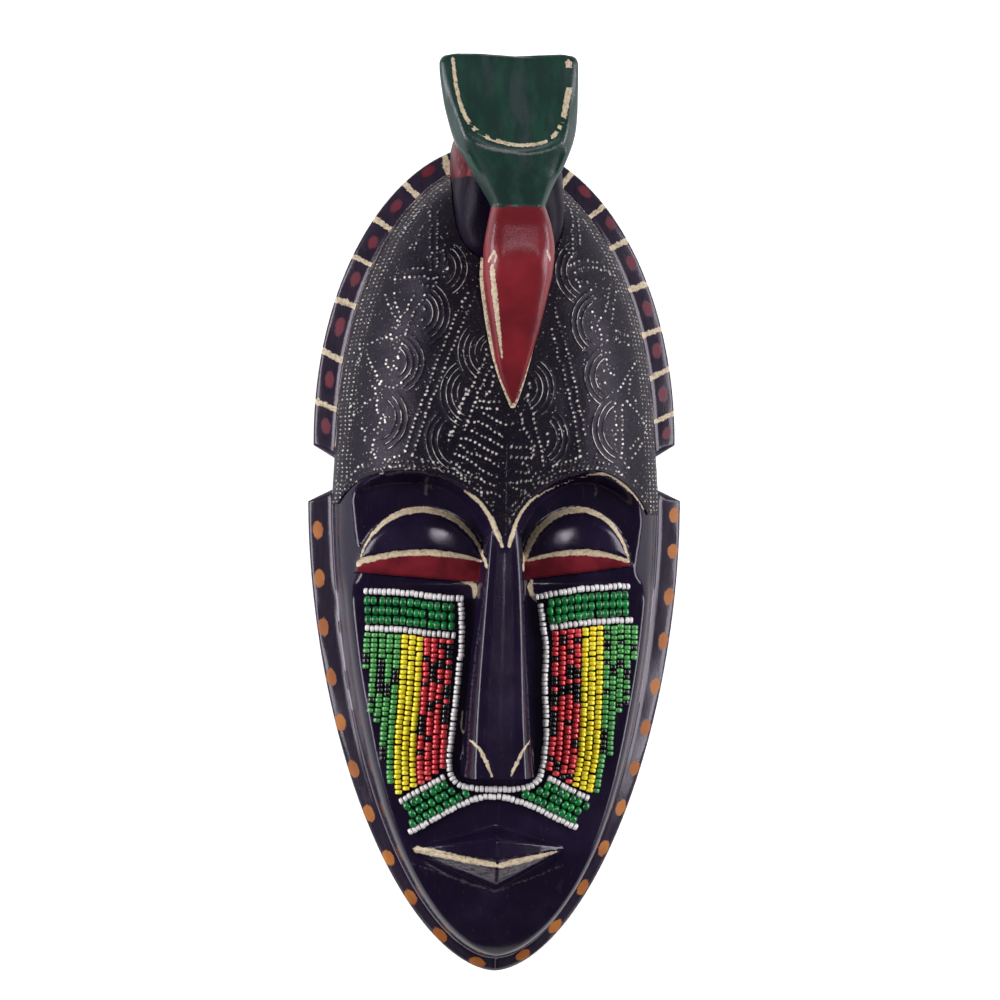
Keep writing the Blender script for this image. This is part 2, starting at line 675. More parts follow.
def outward(piece):
    """Turn the faces outwards if the volume under them comes out negative."""
    piece.data.calc_loop_triangles()
    corner = np.empty(len(piece.data.loop_triangles) * 3, np.int32)
    piece.data.loop_triangles.foreach_get("vertices", corner)
    p = coordinates(piece.data)[corner.reshape(-1, 3)]
    volume = np.einsum("ij,ij->i", p[:, 0], np.cross(p[:, 1], p[:, 2])).sum() / 6
    if volume < 0:
        piece.data.flip_normals()
    return abs(volume)


wood = make_piece("mask_wood", skin_points, skin_faces)
print("wood volume in ml:", round(outward(wood) / 1000, 1))
bird_parts = [make_piece(f"bird_{k}", *solid) for k, solid in enumerate(parrot_lofts())]
for part in bird_parts:
    outward(part)
wood_paints = ["black_paint", "bird_paint", "cream_filler", "body_paint"]
part_paints = ["black_paint", "bird_paint", "bird_paint", "body_paint", "cream_filler"]
for part, part_paint in zip([wood] + bird_parts, part_paints):
    for paint_name in wood_paints:
        part.data.materials.append(bpy.data.materials.get(paint_name)
                                   or bpy.data.materials.new(paint_name))
    kind = wood_paints.index(part_paint)
    part.data.polygons.foreach_set("material_index",
                                   np.full(len(part.data.polygons), kind, np.int32))
combine(wood, bird_parts, "UNION")
print("carved wood triangles:", triangle_count(wood))

# %% [markdown]
# ## Where the paint goes
# The maker painted lines, lids and rim dots by hand on the finished carving. Each painted
# line is kept as two numbers on every point: how far the point is from the middle of the
# line, and how wide the line is there. The material compares them, so an edge stays crisp
# between points.

# %% Painted lines as fields
def along_line(line):
    """A smooth path through hand-set points, resampled about every millimetre."""
    p = np.array(line, float)
    run = run_along(*p.T)
    t = np.linspace(0, run[-1], max(3, int(run[-1]) + 1))
    path = np.c_[smooth_curve(np.c_[run, p[:, 0]])(t), smooth_curve(np.c_[run, p[:, 1]])(t)]
    return path, t / run[-1]


def stroke_field(points, line, widths):
    """Signed distance from the line and its half-width there, less the way past its ends
    and less 0.7 mm for each mm past 3 mm that a point lies above or below the line."""
    path, share = along_line(line)
    step = np.diff(path, axis=0)
    length = np.hypot(*step.T)
    away = points[:, None, :2] - path[None, :-1]
    path_z = points[(away**2).sum(2).argmin(0), 2]
    t = (away * step).sum(2) / length**2
    off = away - np.clip(t, 0, 1)[..., None] * step
    near = (off**2).sum(2).argmin(1)
    pick = np.arange(len(points)), near
    unit = step[near] / length[near][:, None]
    side = unit[:, 0] * away[pick][:, 1] - unit[:, 1] * away[pick][:, 0]
    t = t[pick]
    past = np.where(near == 0, np.maximum(0, -t), 0)
    past = past + np.where(near == len(step) - 1, np.maximum(0, t - 1), 0)
    at = blend(share[near], share[near + 1], np.clip(t, 0, 1))
    half = np.interp(at, *np.array(widths, float).T)
    climb = np.clip(np.abs(path_z[near] - points[:, 2]) - 3, 0, None)
    return side, half - past * length[near] - 0.7 * climb


def paint_lines(points, strokes, allowed):
    """The best fitting stroke at every point within 2.6 mm of its edge, as (offset,
    half-width)."""
    offset, half = np.full(len(points), 9.0), np.full(len(points), -9.0)
    for line, widths in strokes:
        low, high = np.min(line, 0) - 4, np.max(line, 0) + 4
        near = allowed & (points[:, :2] > low).all(1) & (points[:, :2] < high).all(1)
        i = np.flatnonzero(near)
        if not len(i):
            continue
        side, width = stroke_field(points[i], line, widths)
        depth = width - np.abs(side)
        better = (depth > half[i] - np.abs(offset[i])) & (depth > -2.6)
        offset[i[better]], half[i[better]] = side[better], width[better]
    return offset, half


# %% The lines themselves, read from the mask's front
def eye_arc(eye, start, end, inset):
    """A line inside the outline of an eye's dome, between two angles in degrees from its
    outer corner."""
    a = np.radians(np.linspace(start, end, 24))
    across = np.where(np.cos(a) > 0, eye["outer"], eye["inner"]) - inset
    return np.c_[eye["x"] + eye["side"] * across * np.cos(a),
                 eye_base + (eye_tall - inset) * np.sin(a)]


def lash_band(eye, start, end):
    """The middle of the band under the lash line, between two x."""
    x = np.linspace(start, end, 24)
    return np.c_[x, eye_lines(eye, x)[1] - 1.75]


brow_and_arc_strokes = [
    ([(-17.1, 16.0), (-11.7, 12.0), (-7.2, 7.0), (-2.7, -1.6), (0.5, -9.6)],
     [(0, 0.3), (0.25, 0.9), (0.5, 1.35), (0.85, 1.1), (1, 0.5)]),
    ([(3.3, -9.7), (6.9, 1.6), (12.4, 10.1), (20.1, 15.1), (29.1, 19.2), (40.5, 22.8),
      (47.3, 23.3), (56.3, 18.3), (63.2, 12.4), (66.8, 7.0)],
     [(0, 0.8), (0.12, 1.2), (0.3, 0.9), (0.5, 0.5), (0.7, 0.75), (0.85, 0.9), (1, 0.4)]),
    (eye_arc(eyes[0], 14, 170, 1.1),
     [(0, 0.3), (0.12, 0.5), (0.35, 1.35), (0.65, 1.4), (0.85, 0.9), (1, 0.7)]),
    (eye_arc(eyes[1], 172, 14, 1.1),
     [(0, 1.2), (0.2, 1.4), (0.5, 1.35), (0.75, 1.1), (1, 0.5)]),
    ([(-16.9, -84.4), (-17.4, -92.0), (-14.7, -95.5), (-10.2, -100.0), (-4.9, -111.7)],
     [(0, 0.3), (0.4, 0.5), (0.75, 0.9), (1, 0.5)]),
    ([(13.5, -95.7), (9.9, -99.2), (6.8, -104.6), (3.6, -111.3)],
     [(0, 0.3), (0.7, 0.8), (1, 0.4)]),
    ([(-38.0, -146.9), (-27.0, -148.6), (-14.0, -151.0), (-2.2, -153.0)],
     [(0, 1.5), (0.2, 1.7), (0.7, 1.4), (1, 1.0)])]
lash_and_patch_strokes = [
    (lash_band(eyes[0], -8.5, -64.5), [(0, 0.4), (0.2, 1.2), (0.5, 1.45), (1, 1.3)]),
    (lash_band(eyes[1], 59.0, 13.0), [(0, 0.8), (0.4, 1.4), (0.7, 1.2), (1, 0.5)]),
    ([(-0.9, -153.2), (8.6, -151.5), (17.0, -149.8), (25.8, -148.2)],
     [(0, 1.2), (0.3, 1.5), (0.7, 1.0), (1, 0.5)]),
    ([(-17.5, -25.6), (-12.4, -26.6), (-11.2, -29.0), (-11.6, -32.6)],
     [(0, 0.3), (0.3, 0.9), (0.6, 1.4), (1, 0.7)]),
    ([(14.8, -25.2), (13.9, -28.8), (15.4, -32.5), (16.6, -34.6)],
     [(0, 0.8), (0.35, 1.3), (0.8, 0.9), (1, 0.4)]),
    ([(-23.4, 170.6), (-22.6, 166.2), (-20.6, 161.4)], [(0, 1.0), (0.5, 1.9), (1, 1.2)]),
    ([(-19.1, 26.4), (-18.6, 27.6)], [(0, 0.5), (1, 0.5)]),
    ([(26.8, 24.7), (27.6, 25.6)], [(0, 0.5), (1, 0.4)])]
scuff_strokes = [
    ([(-33.6, 22.0), (-33.2, 17.5), (-33.4, 13.8)], [(0, 0.9), (0.5, 1.6), (1, 0.7)]),
    ([(-30.8, 20.5), (-30.9, 16.0)], [(0, 0.5), (1, 0.5)]),
    ([(44.0, 19.8), (44.2, 15.6), (43.9, 12.4)], [(0, 0.4), (0.5, 0.9), (1, 0.3)]),
    ([(-45.3, -151.9), (-31.7, -156.1), (-18.2, -161.0), (-9.2, -164.2), (-2.2, -166.2),
      (8.8, -162.4), (20.1, -158.1), (29.4, -154.2)], [(0, 0.3), (0.4, 0.9), (1, 0.4)]),
    ([(-16.6, 167.6), (-8.0, 164.4), (0.6, 162.9), (7.5, 162.0), (14.4, 162.9),
      (21.3, 165.4), (25.7, 168.9)], [(0, 0.4), (0.25, 0.9), (0.6, 0.6), (0.85, 0.5), (1, 0.2)])]
bird_strokes = [
    ([(-23.5, 205.0), (-22.5, 194.9), (-20.7, 185.2), (-17.7, 177.2), (-13.0, 171.8),
      (-5.3, 167.9), (5.9, 165.8), (13.7, 166.6), (20.7, 171.0), (24.3, 178.1),
      (26.1, 186.0), (27.6, 194.9), (27.3, 203.7)],
     [(0, 0.75), (0.3, 0.9), (0.5, 0.8), (0.62, 0.7), (0.75, 1.1), (1, 1.5)]),
    ([(-6.4, 114.1), (-4.7, 100.0), (-2.9, 86.7), (-1.1, 74.3)],
     [(0, 0.9), (0.3, 1.2), (0.7, 0.8), (1, 0.3)])]
bird_eye_strokes = [
    ([(-5.1, 121.5), (-7.8, 116.2)], [(0, 0.35), (1, 0.45)]),
    ([(-6.0, 113.6), (-4.7, 118.0), (-5.1, 121.5)], [(0, 0.4), (1, 0.35)]),
    ([(17.9, 120.9), (19.3, 116.5)], [(0, 0.5), (1, 0.4)])]

at = coordinates(wood.data)
wood_x, wood_y, wood_z = at.T
plain = front_height(wood_x, wood_y)
skin = np.minimum(plain, carved_front(wood_x, wood_y))
shown = wood_z > skin - 6
is_bird = shown & (wood_z > plain + 4) & (wood_y > 45)
for name, face_lines, bird_lines in (("line", brow_and_arc_strokes, bird_strokes),
                                     ("second_line", lash_and_patch_strokes, bird_eye_strokes),
                                     ("scuff", scuff_strokes[:4], scuff_strokes[4:])):
    on_face = paint_lines(at, face_lines, shown & ~is_bird)
    on_bird = paint_lines(at, bird_lines, is_bird)
    give(wood, name + "_offset", np.where(is_bird, on_bird[0], on_face[0]))
    give(wood, name + "_half", np.where(is_bird, on_bird[1], on_face[1]))

# %% Red lids, scraped lip and the crease at the foot of the wall
lid = np.full(len(at), -9.0)
for eye in eyes:
    near = shown & (np.abs(wood_x - eye["x"]) < 34) & (wood_y > -50) & (wood_y < 12)
    x, y = wood_x[near], wood_y[near]
    _, lash, low, arch = eye_lines(eye, x)
    depth = np.minimum(np.minimum(lash - 1.5 - y, y - low + 0.2), arch * 12 - 2.2)
    on_lid = wood_z[near] < eye_height(eye, x, y) + 1.2
    lid[near] = np.maximum(lid[near], np.where(on_lid, depth, -9.0))
give(wood, "lid", lid)


def inside_triangle(x, y, corners):
    """Distance in mm to the nearest side, positive inside; corners run anticlockwise."""
    c = np.array(corners, float)
    depth = np.full(np.shape(x), 99.0)
    for a, b in zip(c, np.roll(c, -1, axis=0)):
        d = (b - a) / np.hypot(*(b - a))
        depth = np.minimum(depth, d[0] * (y - a[1]) - d[1] * (x - a[0]))
    return depth


lower_lip = inside_triangle(wood_x, wood_y, [(-36.5, -150.6), (-2.6, -162.1), (26.8, -149.2)])
lower_lip = np.minimum(lower_lip, np.abs(wood_x + 1.8) * 1.5 - 0.4)
give(wood, "scraped", np.where(shown, lower_lip, -9.0))
stem = inside_triangle(wood_x, wood_y, [(-27, 186), (-27, 157.5), (-8, 155), (-8, 186)])
give(wood, "stem", np.where(shown & (wood_z < 74) & (wood_z > 24), stem, -9.0))
from_foot = past_foot(wood_x, wood_y)
up_wall = -0.25 - np.hypot(from_foot + 0.25, wood_z - rim_inner_z)
crease = np.where(wood_z > rim_inner_z + 0.3, up_wall, from_foot)
give(wood, "crease", np.where(wood_z > 8, crease, 9.0))
hollowed = (np.abs(wood_x) < wall_half(wood_y) - 8.5) & (wood_z < skin - 6)
give(wood, "inside", (hollowed | (wood_z < 0.6)) & (wood_z < 60))

# %% Dots and ticks round the rim
lower_y = -207.5 + 218.5 * (1 - np.cos(np.linspace(0, math.pi / 2, 420)))
halo_y = 37 + 140.5 * np.sin(np.linspace(0, math.pi / 2, 320))
lower_left = ([9.4, 32.3, 55.1, 76.2, 99.0, 120.9, 143.6, 164.8, 188.7, 211.0, 234.0],
              [2.3, 2.3, 2.3, 2.3, 2.3, 2.3, 2.3, 2.6, 2.9, 3.6, 4.3])
lower_right = ([15.9, 36.2, 59.4, 80.1, 101.0, 120.5, 140.2, 160.0, 181.7, 202.5, 224.0,
                240.4], [3.0] * 12)
halo_left = ([9.4, 31.4, 57.2, 81.4, 100.4, 121.8, 145.0],
             [18.3, 42.0, 68.3, 89.9, 110.2, 131.7, 154.5],
             [5.6, 5.6, 5.6, 5.6, 5.6, 4.8, 3.0])
halo_right = ([5.8, 24.8, 45.5, 65.6, 89.1, 110.6, 129.8],
              [13.1, 34.3, 54.4, 77.0, 99.2, 118.4, 140.2],
              [4.0, 4.8, 4.6, 4.0, 3.4, 3.0, 3.0])


def rim_place(x, y, edge_y):
    """Arc length along one half of the outline and distance in from it, in mm."""
    edge_x = rim_half(edge_y)
    run = run_along(edge_x, edge_y)
    gap = np.hypot(np.abs(x)[:, None] - edge_x, y[:, None] - edge_y)
    near = gap.argmin(1)
    return run[near], gap[np.arange(len(x)), near]


rim_mark, rim_across = np.full(len(at), 0.25), np.full(len(at), 9.0)
on_rim = (from_foot > -0.2) & (wood_z < 14.6)
for side in (-1, 1):
    for upper in (False, True):
        part = on_rim & (wood_x * side > 0) & (wood_y > 24 if upper else wood_y <= 24)
        s, d = rim_place(wood_x[part], wood_y[part], halo_y if upper else lower_y)
        if upper:
            dots, ticks, inset = halo_left if side < 0 else halo_right
            knots = [(v, k + 1) for k, v in enumerate(dots)]
            knots += [(v, k + 1.5) for k, v in enumerate(ticks)]
            knots = sorted(knots + [(0, 0.62)])
            knots.append((knots[-1][0] + 6, knots[-1][1] + 0.25))
        else:
            dots, inset = lower_left if side < 0 else lower_right
            knots = [(v, k + 1) for k, v in enumerate(dots)]
            knots = [(dots[0] - 22, 0)] + knots + [(dots[-1] + 22, len(dots) + 1)]
        slant = 0.36 * ease(66, 36, s) if upper else 0.0
        s = s + slant * (d - np.interp(s, dots, inset))
        rim_mark[part] = np.interp(s, *np.array(knots, float).T)
        rim_across[part] = d - np.interp(s, dots, inset)
give(wood, "rim_mark", rim_mark)
give(wood, "rim_across", rim_across)
print("rim points:", int(on_rim.sum()), "bird points:", int(is_bird.sum()))
wood.data.set_sharp_from_angle(angle=math.radians(48))
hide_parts("carved_wood")

# %% [markdown]
# ## The embossed sheet
# A thin blackened metal sheet is laid over the forehead, trimmed along the brows and carried
# down to the rim. Its pattern of dots and arcs is punched from behind, so every mark
# stands up a little and is rubbed bright. The sheet follows the plain front, lifted along
# its normal.

# %% Where the sheet's lower edge runs
brow_margin = 0.9


def brow_edge(eye, x):
    """Top of the brow arch at x, grown by the margin; very low outside its ends."""
    across = (x - eye["brow_x"]) * eye["side"]
    p = np.where(across >= 0, eye["power"], 2.0)
    a = np.where(across >= 0, eye["brow_outer"], eye["brow_inner"]) + brow_margin
    u = np.clip(np.abs(across) / a, 0, 1)
    top = brow_y + (brow_tall + brow_margin) * (1 - u**p) ** (1 / p)
    return np.where(u < 1, top, -99.0)


def sheet_edge(x):
    """Lower edge of the sheet: both brows, the point between them and the side ends."""
    low = np.maximum(brow_edge(eyes[0], x), brow_edge(eyes[1], x))
    low = np.maximum(low, 4.6 - 9 * np.exp(-((x - bridge_x) / 3.0) ** 2))
    left_end = np.where(x < -66, blend(10.7, 9.5, np.clip((-66 - x) / 9, 0, 1)), -99.0)
    right_end = np.where(x > 66, blend(1.0, -4.0, np.clip((x - 66) / 7, 0, 1)), -99.0)
    return np.maximum(np.maximum(low, left_end), right_end)


# %% A grid that is even along the metal
columns, lower_rows, upper_rows, coarse = 354, 174, 84, 6
turn = np.linspace(0, math.pi / 2, 4000)
profile_x, profile_z = 73 * np.sin(turn) ** (2 / 2.7), 54 * np.cos(turn)
run = run_along(profile_x, profile_z)
even_run = np.linspace(-1, 1, columns + 1)
share_across = np.sign(even_run) * np.interp(np.abs(even_run) * run[-1], run, profile_x / 73)
crown_line = np.linspace(112, 167.3, 3000)
run_up = run_along(crown_line, forehead_rise(crown_line))
upper_y = np.interp(np.linspace(0, run_up[-1], upper_rows + 1), run_up, crown_line)
bottom_y = np.full(columns + 1, 20.0)
for _ in range(6):
    bottom_y = sheet_edge(share_across * wall_half(bottom_y))
rise_share = np.linspace(0, 1, lower_rows + 1)[:-1, None]
sheet_y = np.r_[blend(bottom_y[None], 112.0, rise_share),
                np.repeat(upper_y[:, None], columns + 1, 1)]
sheet_x = share_across[None] * wall_half(sheet_y)
sheet_base = np.stack([sheet_x, sheet_y, front_height(sheet_x, sheet_y)], -1)
along_u, along_v = np.gradient(sheet_base, axis=1), np.gradient(sheet_base, axis=0)
sheet_normal = np.cross(along_u, along_v)
sheet_normal /= np.linalg.norm(sheet_normal, axis=2)[..., None] + 1e-9
print("sheet grid:", sheet_y.shape)

# %% [markdown]
# ## The punched pattern
# The pattern was measured off the sheet in millimetres from the mask's centre. Rows are
# dotted with a round punch about every 2.2 mm and arcs are drawn with a blunt tracer. A point of
# the sheet takes the height of the nearest mark.

# %% Dots and arcs of the pattern
view_distance, view_steps = 1497.2, 3204
view_x, view_y, view_lean = 3.0, 11.5, 0.0612


def mark_xy(u, v):
    """Place on the sheet of a mark seen `u` steps right and `v` steps down in a view of
    1000 steps: where the line of sight through it meets the plain front."""
    x, y = 0.0, 60.0
    for _ in range(5):
        z = float(front_height(np.array(x), np.array(y))) + 1
        step = (view_distance - z) / view_steps
        x = view_x - view_lean * z + (u - 500) * step
        y = view_y + (500 - v) * step
    return np.array([x, y])


dot_pitch = 2.15


def dotted(line):
    """Dots every `dot_pitch` mm along a line of marks."""
    return evenly([mark_xy(u, v) for u, v in line], dot_pitch)


def evenly(line, pitch):
    """Points every `pitch` mm along a line in mm."""
    p = np.array(line)
    run = run_along(*p.T)
    t = np.arange(0, run[-1] + 0.1, pitch)
    return np.c_[np.interp(t, run, p[:, 0]), np.interp(t, run, p[:, 1])]


left_bands = [
    [(475, 297), (465, 318), (455, 342), (447, 362), (440, 380), (432, 399.5),
     (426, 415.5), (420.5, 432), (414, 455)],
    [(468, 294), (462, 304), (453, 322), (446, 341), (439, 357.5), (433, 373.5),
     (426, 393.5), (420, 408), (415, 421), (410.5, 436), (405, 453.5)]]
right_bands = [
    [(554.5, 307.5), (557.5, 318.5), (560, 326), (563, 338.5), (567, 349.5), (569, 361),
     (572, 372), (574.5, 383), (578, 398.5), (580, 409.5), (583, 423.5), (585, 435)],
    [(551.5, 329), (556, 345), (557, 356.5), (562, 365), (565, 379.5), (568.5, 390.5),
     (571, 404.5), (575, 420.5), (577, 436.5), (578.5, 448), (580.5, 455.5)]]
left_upper = [
    [(431, 208), (431, 272)], [(437.5, 212), (437.5, 268)], [(445, 246), (444, 262), (446, 272)],
    [(404, 270), (426, 268)], [(396, 280), (424, 276.5), (433, 280), (440, 277)],
    [(424, 286), (433, 287), (438, 281)], [(400, 236), (412, 222), (424, 206)],
    [(407, 248), (416, 249), (420, 231), (425, 226)]]
left_diamonds = [
    [(426, 296), (418.5, 306), (411, 320.5), (406, 334.5), (402, 345), (397, 357.5),
     (393, 369), (391, 376)],
    [(414, 296), (411, 303), (408, 309), (403, 316), (401, 322.5)],
    [(387, 296), (390, 305), (394, 314), (397, 319), (400.5, 323), (398, 329), (393, 327)],
    [(395, 294), (396, 301), (399, 311), (403, 316)],
    [(406, 334), (395, 339), (387, 337), (383, 339), (379, 340), (372, 343.5)],
    [(392, 335), (393.5, 345), (398, 352)], [(388, 360), (386, 366), (392, 369)],
    [(361.5, 345), (362, 357), (357, 366)],
    [(369, 345), (368, 353), (371.5, 361), (375.5, 370.5), (379, 381), (382.5, 388)],
    [(382.5, 382), (389, 388), (395, 388), (403, 383)],
    [(374, 385), (376, 390), (377, 396), (374, 398.5), (369, 402), (365, 404.5), (360, 409)],
    [(363, 397.5), (357, 402), (354, 405), (351, 407)], [(357, 411), (354, 416), (352, 425)],
    [(378, 400), (377, 412), (384, 414), (381, 422), (380, 427), (375, 430), (379, 433)],
    [(359, 425), (362, 428), (366, 432), (368, 437), (365, 443)],
    [(374, 440), (373, 447), (378, 451), (372, 453), (378, 456), (369, 461)],
    [(364, 465), (360, 467), (354, 474), (351, 476), (348, 480)],
    [(358, 482), (354, 487), (350, 489), (348, 492)],
    [(386, 459), (390, 459), (398, 457), (404, 453.5)], [(391.5, 467), (397, 467), (402, 465)],
    [(405, 469.5), (418, 468), (423, 471), (427, 472)], [(413, 455), (420, 458), (425, 460)]]
middle_left = [
    [(487, 356), (479, 371), (471, 388), (464, 400), (456, 422), (454, 430), (451, 439)],
    [(492, 367), (486, 378), (480, 389), (475, 401), (471, 414), (465.5, 428), (463, 432)],
    [(495, 377), (490, 392), (484, 397)], [(466, 394), (461, 406), (458, 413)],
    [(480, 401), (503, 402)], [(477, 407), (499, 409)], [(484, 413.5), (506, 425)],
    [(468.5, 422), (480, 422), (506, 438)], [(473, 430), (485, 437), (503, 447)],
    [(461.5, 438.5), (471, 440), (483, 446.5), (500, 455)],
    [(460, 445.5), (474, 454.5), (485, 458.5), (502, 467)],
    [(455, 453.5), (463, 457), (473, 462), (484, 470.5), (501, 478)],
    [(452, 462), (463, 468.5), (474.5, 476.5), (486, 481.5), (498, 487)],
    [(454, 469), (462, 476), (470.5, 481.5)], [(458, 483), (468, 487)],
    [(482, 491), (497, 494), (503, 497)]]
middle_right = [
    [(511.5, 446.5), (530.5, 447)], [(512, 456.5), (533.5, 458)], [(522.5, 464), (536, 468)],
    [(516, 471.5), (537, 473)], [(511.5, 481.5), (533, 481)], [(517, 488), (526.5, 493.5)],
    [(530, 404), (533.5, 415.5), (535.5, 428.5), (538, 437), (541.5, 449), (543, 466)],
    [(521, 414), (524, 427), (529, 438), (533, 444), (533, 453), (534, 458)],
    [(526, 396), (530, 404)], [(512, 424), (513, 427)],
    [(552.5, 466), (558.5, 463.5), (567, 461), (572, 460), (580.5, 455.5)],
    [(547.5, 482), (558.5, 477), (568, 474), (573, 470), (584.5, 469.5), (598, 468)],
    [(538, 482), (544, 483)], [(596, 458), (600, 459)]]
right_upper = [
    [(570.5, 208.6), (572.7, 257.4)], [(577, 217), (580, 247.6)], [(584, 221), (587, 228)],
    [(570.5, 265), (582, 260.6), (601, 263), (609.5, 274)],
    [(579, 268), (594, 266), (603, 270), (614, 275)], [(587, 280.5), (578, 281), (580, 287)],
    [(566, 249), (569, 254), (572, 258)], [(561, 231), (557, 238), (564, 243)]]
right_diamonds = [
    [(591, 290), (593, 296), (596, 302)], [(609, 284), (607, 303), (604.5, 313.5)],
    [(616.5, 287), (614, 296), (612.5, 309), (611, 322.5)],
    [(600.5, 316.5), (597, 325), (600, 331.5), (601, 337.5), (603, 346.5)],
    [(592, 311), (594, 317)], [(607.5, 335), (606, 340)],
    [(615.5, 330), (630, 337.5)], [(616, 338.5), (634, 346.5)], [(605, 352.5), (611, 352)],
    [(607, 359.5), (606.5, 366), (609, 371.5), (616, 375)],
    [(636, 360), (633, 364.5), (628.5, 372.5), (624.5, 379), (620, 389.5), (615, 392.5)],
    [(632, 375.5), (629, 384), (628, 389), (631, 396), (636, 401)],
    [(615, 402), (613, 407.5), (615.5, 413.5), (616, 420), (617, 428.5), (615.5, 437),
     (615.5, 443.5), (615.5, 452)],
    [(622, 405.5), (621, 413), (622.5, 423), (622.5, 430), (623, 436), (622, 449),
     (621, 461)],
    [(626.5, 401), (632.5, 407), (636, 412), (641, 418), (645, 425), (645, 433)],
    [(638, 438), (632.5, 445), (627, 452)], [(641.5, 442.5), (637, 451), (631, 459)],
    [(624.5, 463.5), (628, 466)], [(618, 471), (624, 477)], [(651, 478), (648, 486)]]
rows = (left_bands + right_bands + left_upper + left_diamonds + middle_left + middle_right
        + right_upper + right_diamonds)
arc_step = 5.6
arcs = [(437, 268, 19, 3, -55, 64), (415, 313, 18, 4, -55, 66), (390, 362, 17, 4, -55, 66),
        (372, 418, 24, 3, -50, 66), (495, 352, 14, 5, 120, 244), (478, 393, 20, 4, 115, 240),
        (465, 440, 27, 3, 115, 232), (590, 272, 25, 3, 116, 240), (606, 323, 25, 3, 114, 242),
        (615, 376, 21, 3, 114, 242), (628, 428, 27, 3, 110, 240), (520, 388, 17, 4, -56, 66),
        (535, 438, 22, 3, -55, 60)]
rng = np.random.default_rng(11)
dots = np.concatenate([dotted(row) for row in rows])
for u, v, inner_r, count, start, end in arcs:
    a = np.radians(rng.uniform(start + 20, end - 20, 3))
    r = inner_r * 0.6
    dots = np.r_[dots, [mark_xy(u + r * math.cos(t), v + r * math.sin(t)) for t in a]]


def brow_row(eye, grow, pitch):
    """Dots along an arch that runs `grow` mm outside the brow."""
    a = np.linspace(0.24, math.pi - 0.24, 80)
    out = np.cos(a) > 0
    p = np.where(out, eye["power"], 2.0)
    wide = np.where(out, eye["brow_outer"], eye["brow_inner"]) + grow
    x = eye["brow_x"] + eye["side"] * wide * np.sign(np.cos(a)) * np.abs(np.cos(a)) ** (2 / p)
    y = brow_y + (brow_tall + grow) * np.sin(a) ** (2 / p)
    row = evenly(np.c_[x, y], pitch)
    return row[(row[:, 1] > sheet_edge(row[:, 0]) + 0.8) & (row[:, 0] * eye["side"] > 3)]


brow_rows = np.concatenate([brow_row(eye, grow, 2.2) for eye in eyes for grow in (2.8, 5.0)])
soft = np.r_[np.zeros(len(dots)), np.full(len(brow_rows), 0.25)]
dots = np.concatenate([dots, brow_rows])
dots = dots + rng.normal(0, 0.2, dots.shape)
middle_light = np.exp(-((dots[:, 0] + 6) / 34) ** 2 - ((dots[:, 1] - 42) / 40) ** 2)
force = rng.uniform(0.5, 1.0, len(dots)) + 0.3 * middle_light - soft
print("punched dots:", len(dots), "arcs:", sum(a[3] for a in arcs))

# %% Heights of the marks on the sheet's grid
def raised_by_dots(x, y, centres, force):
    """Height share of the strongest round punch mark near a point, force * (1.5 - d/0.61)
    within 0 to force, found through a coarse lattice."""
    best = np.zeros(x.shape)
    cell = 4.0
    key = np.floor(centres / cell).astype(int)
    grid_key = np.stack([np.floor(x / cell), np.floor(y / cell)], -1).astype(int)
    wide = 400
    code = (grid_key[..., 0] + 200) * wide + grid_key[..., 1] + 200
    order = np.argsort(code.ravel(), kind="stable")
    sorted_code = code.ravel()[order]
    flat_x, flat_y, flat = x.ravel(), y.ravel(), best.ravel()
    for (cx, cy), (kx, ky), strong in zip(centres, key, force):
        for dx in (-1, 0, 1):
            for dy in (-1, 0, 1):
                c = (kx + dx + 200) * wide + ky + dy + 200
                i = order[np.searchsorted(sorted_code, c):
                          np.searchsorted(sorted_code, c, "right")]
                if len(i):
                    away = np.hypot(flat_x[i] - cx, flat_y[i] - cy)
                    flat[i] = np.maximum(flat[i], strong * np.clip(1.5 - away / 0.61, 0, 1))
    return flat.reshape(x.shape)


def traced_arcs(x, y):
    """For the arc group over each point: the count of lines from its inner one, which is a
    whole number on a line, and how firmly it is traced, 0 outside the group."""
    phase, power = np.full(x.shape, 0.5), np.zeros(x.shape)
    for u, v, inner_r, count, start, end in arcs:
        cx, cy = mark_xy(u, v)
        angle = np.degrees(np.arctan2(-(y - cy), x - cx))
        off = np.abs((angle - (start + end) / 2 + 180) % 360 - 180)
        lines = (np.hypot(x - cx, y - cy) / 0.4476 - inner_r) / arc_step
        firm = np.clip(((end - start) / 2 - off) / 6, 0, 1)
        firm = firm * np.clip((lines + 0.5) / 0.2, 0, 1) * np.clip((count - 0.5 - lines) / 0.2, 0, 1)
        phase = np.where(firm > power, lines, phase)
        power = np.maximum(power, firm)
    return phase, power


arc_phase, arc_power = traced_arcs(sheet_x, sheet_y)
arc_ridge = np.abs((arc_phase + 0.5) % 1 - 0.5)
centre_line = np.clip(1.1 - np.abs(sheet_x - 1.6) / 0.5, 0, 1) * ease(37, 34, sheet_y)
raised = raised_by_dots(sheet_x, sheet_y, dots, force)
raised = np.maximum(raised, 0.6 * centre_line)
dent = 0.22 * waver(sheet_x, sheet_y, 15, 21)
edge_fade = np.clip(np.arange(lower_rows + upper_rows + 1) / 3, 0, 1)[:, None]
height = np.maximum(raised, arc_power * np.clip(1 - arc_ridge / 0.25, 0, 1) * 0.6)
lift = 0.7 + (0.36 * height + dent) * edge_fade
outer = sheet_base + sheet_normal * lift[..., None]
outer[..., 2] = np.maximum(outer[..., 2], 14.5)
inner = (sheet_base + sheet_normal * 0.3)[::coarse, ::coarse].copy()
inner[..., 2] = np.maximum(inner[..., 2], 14.5)

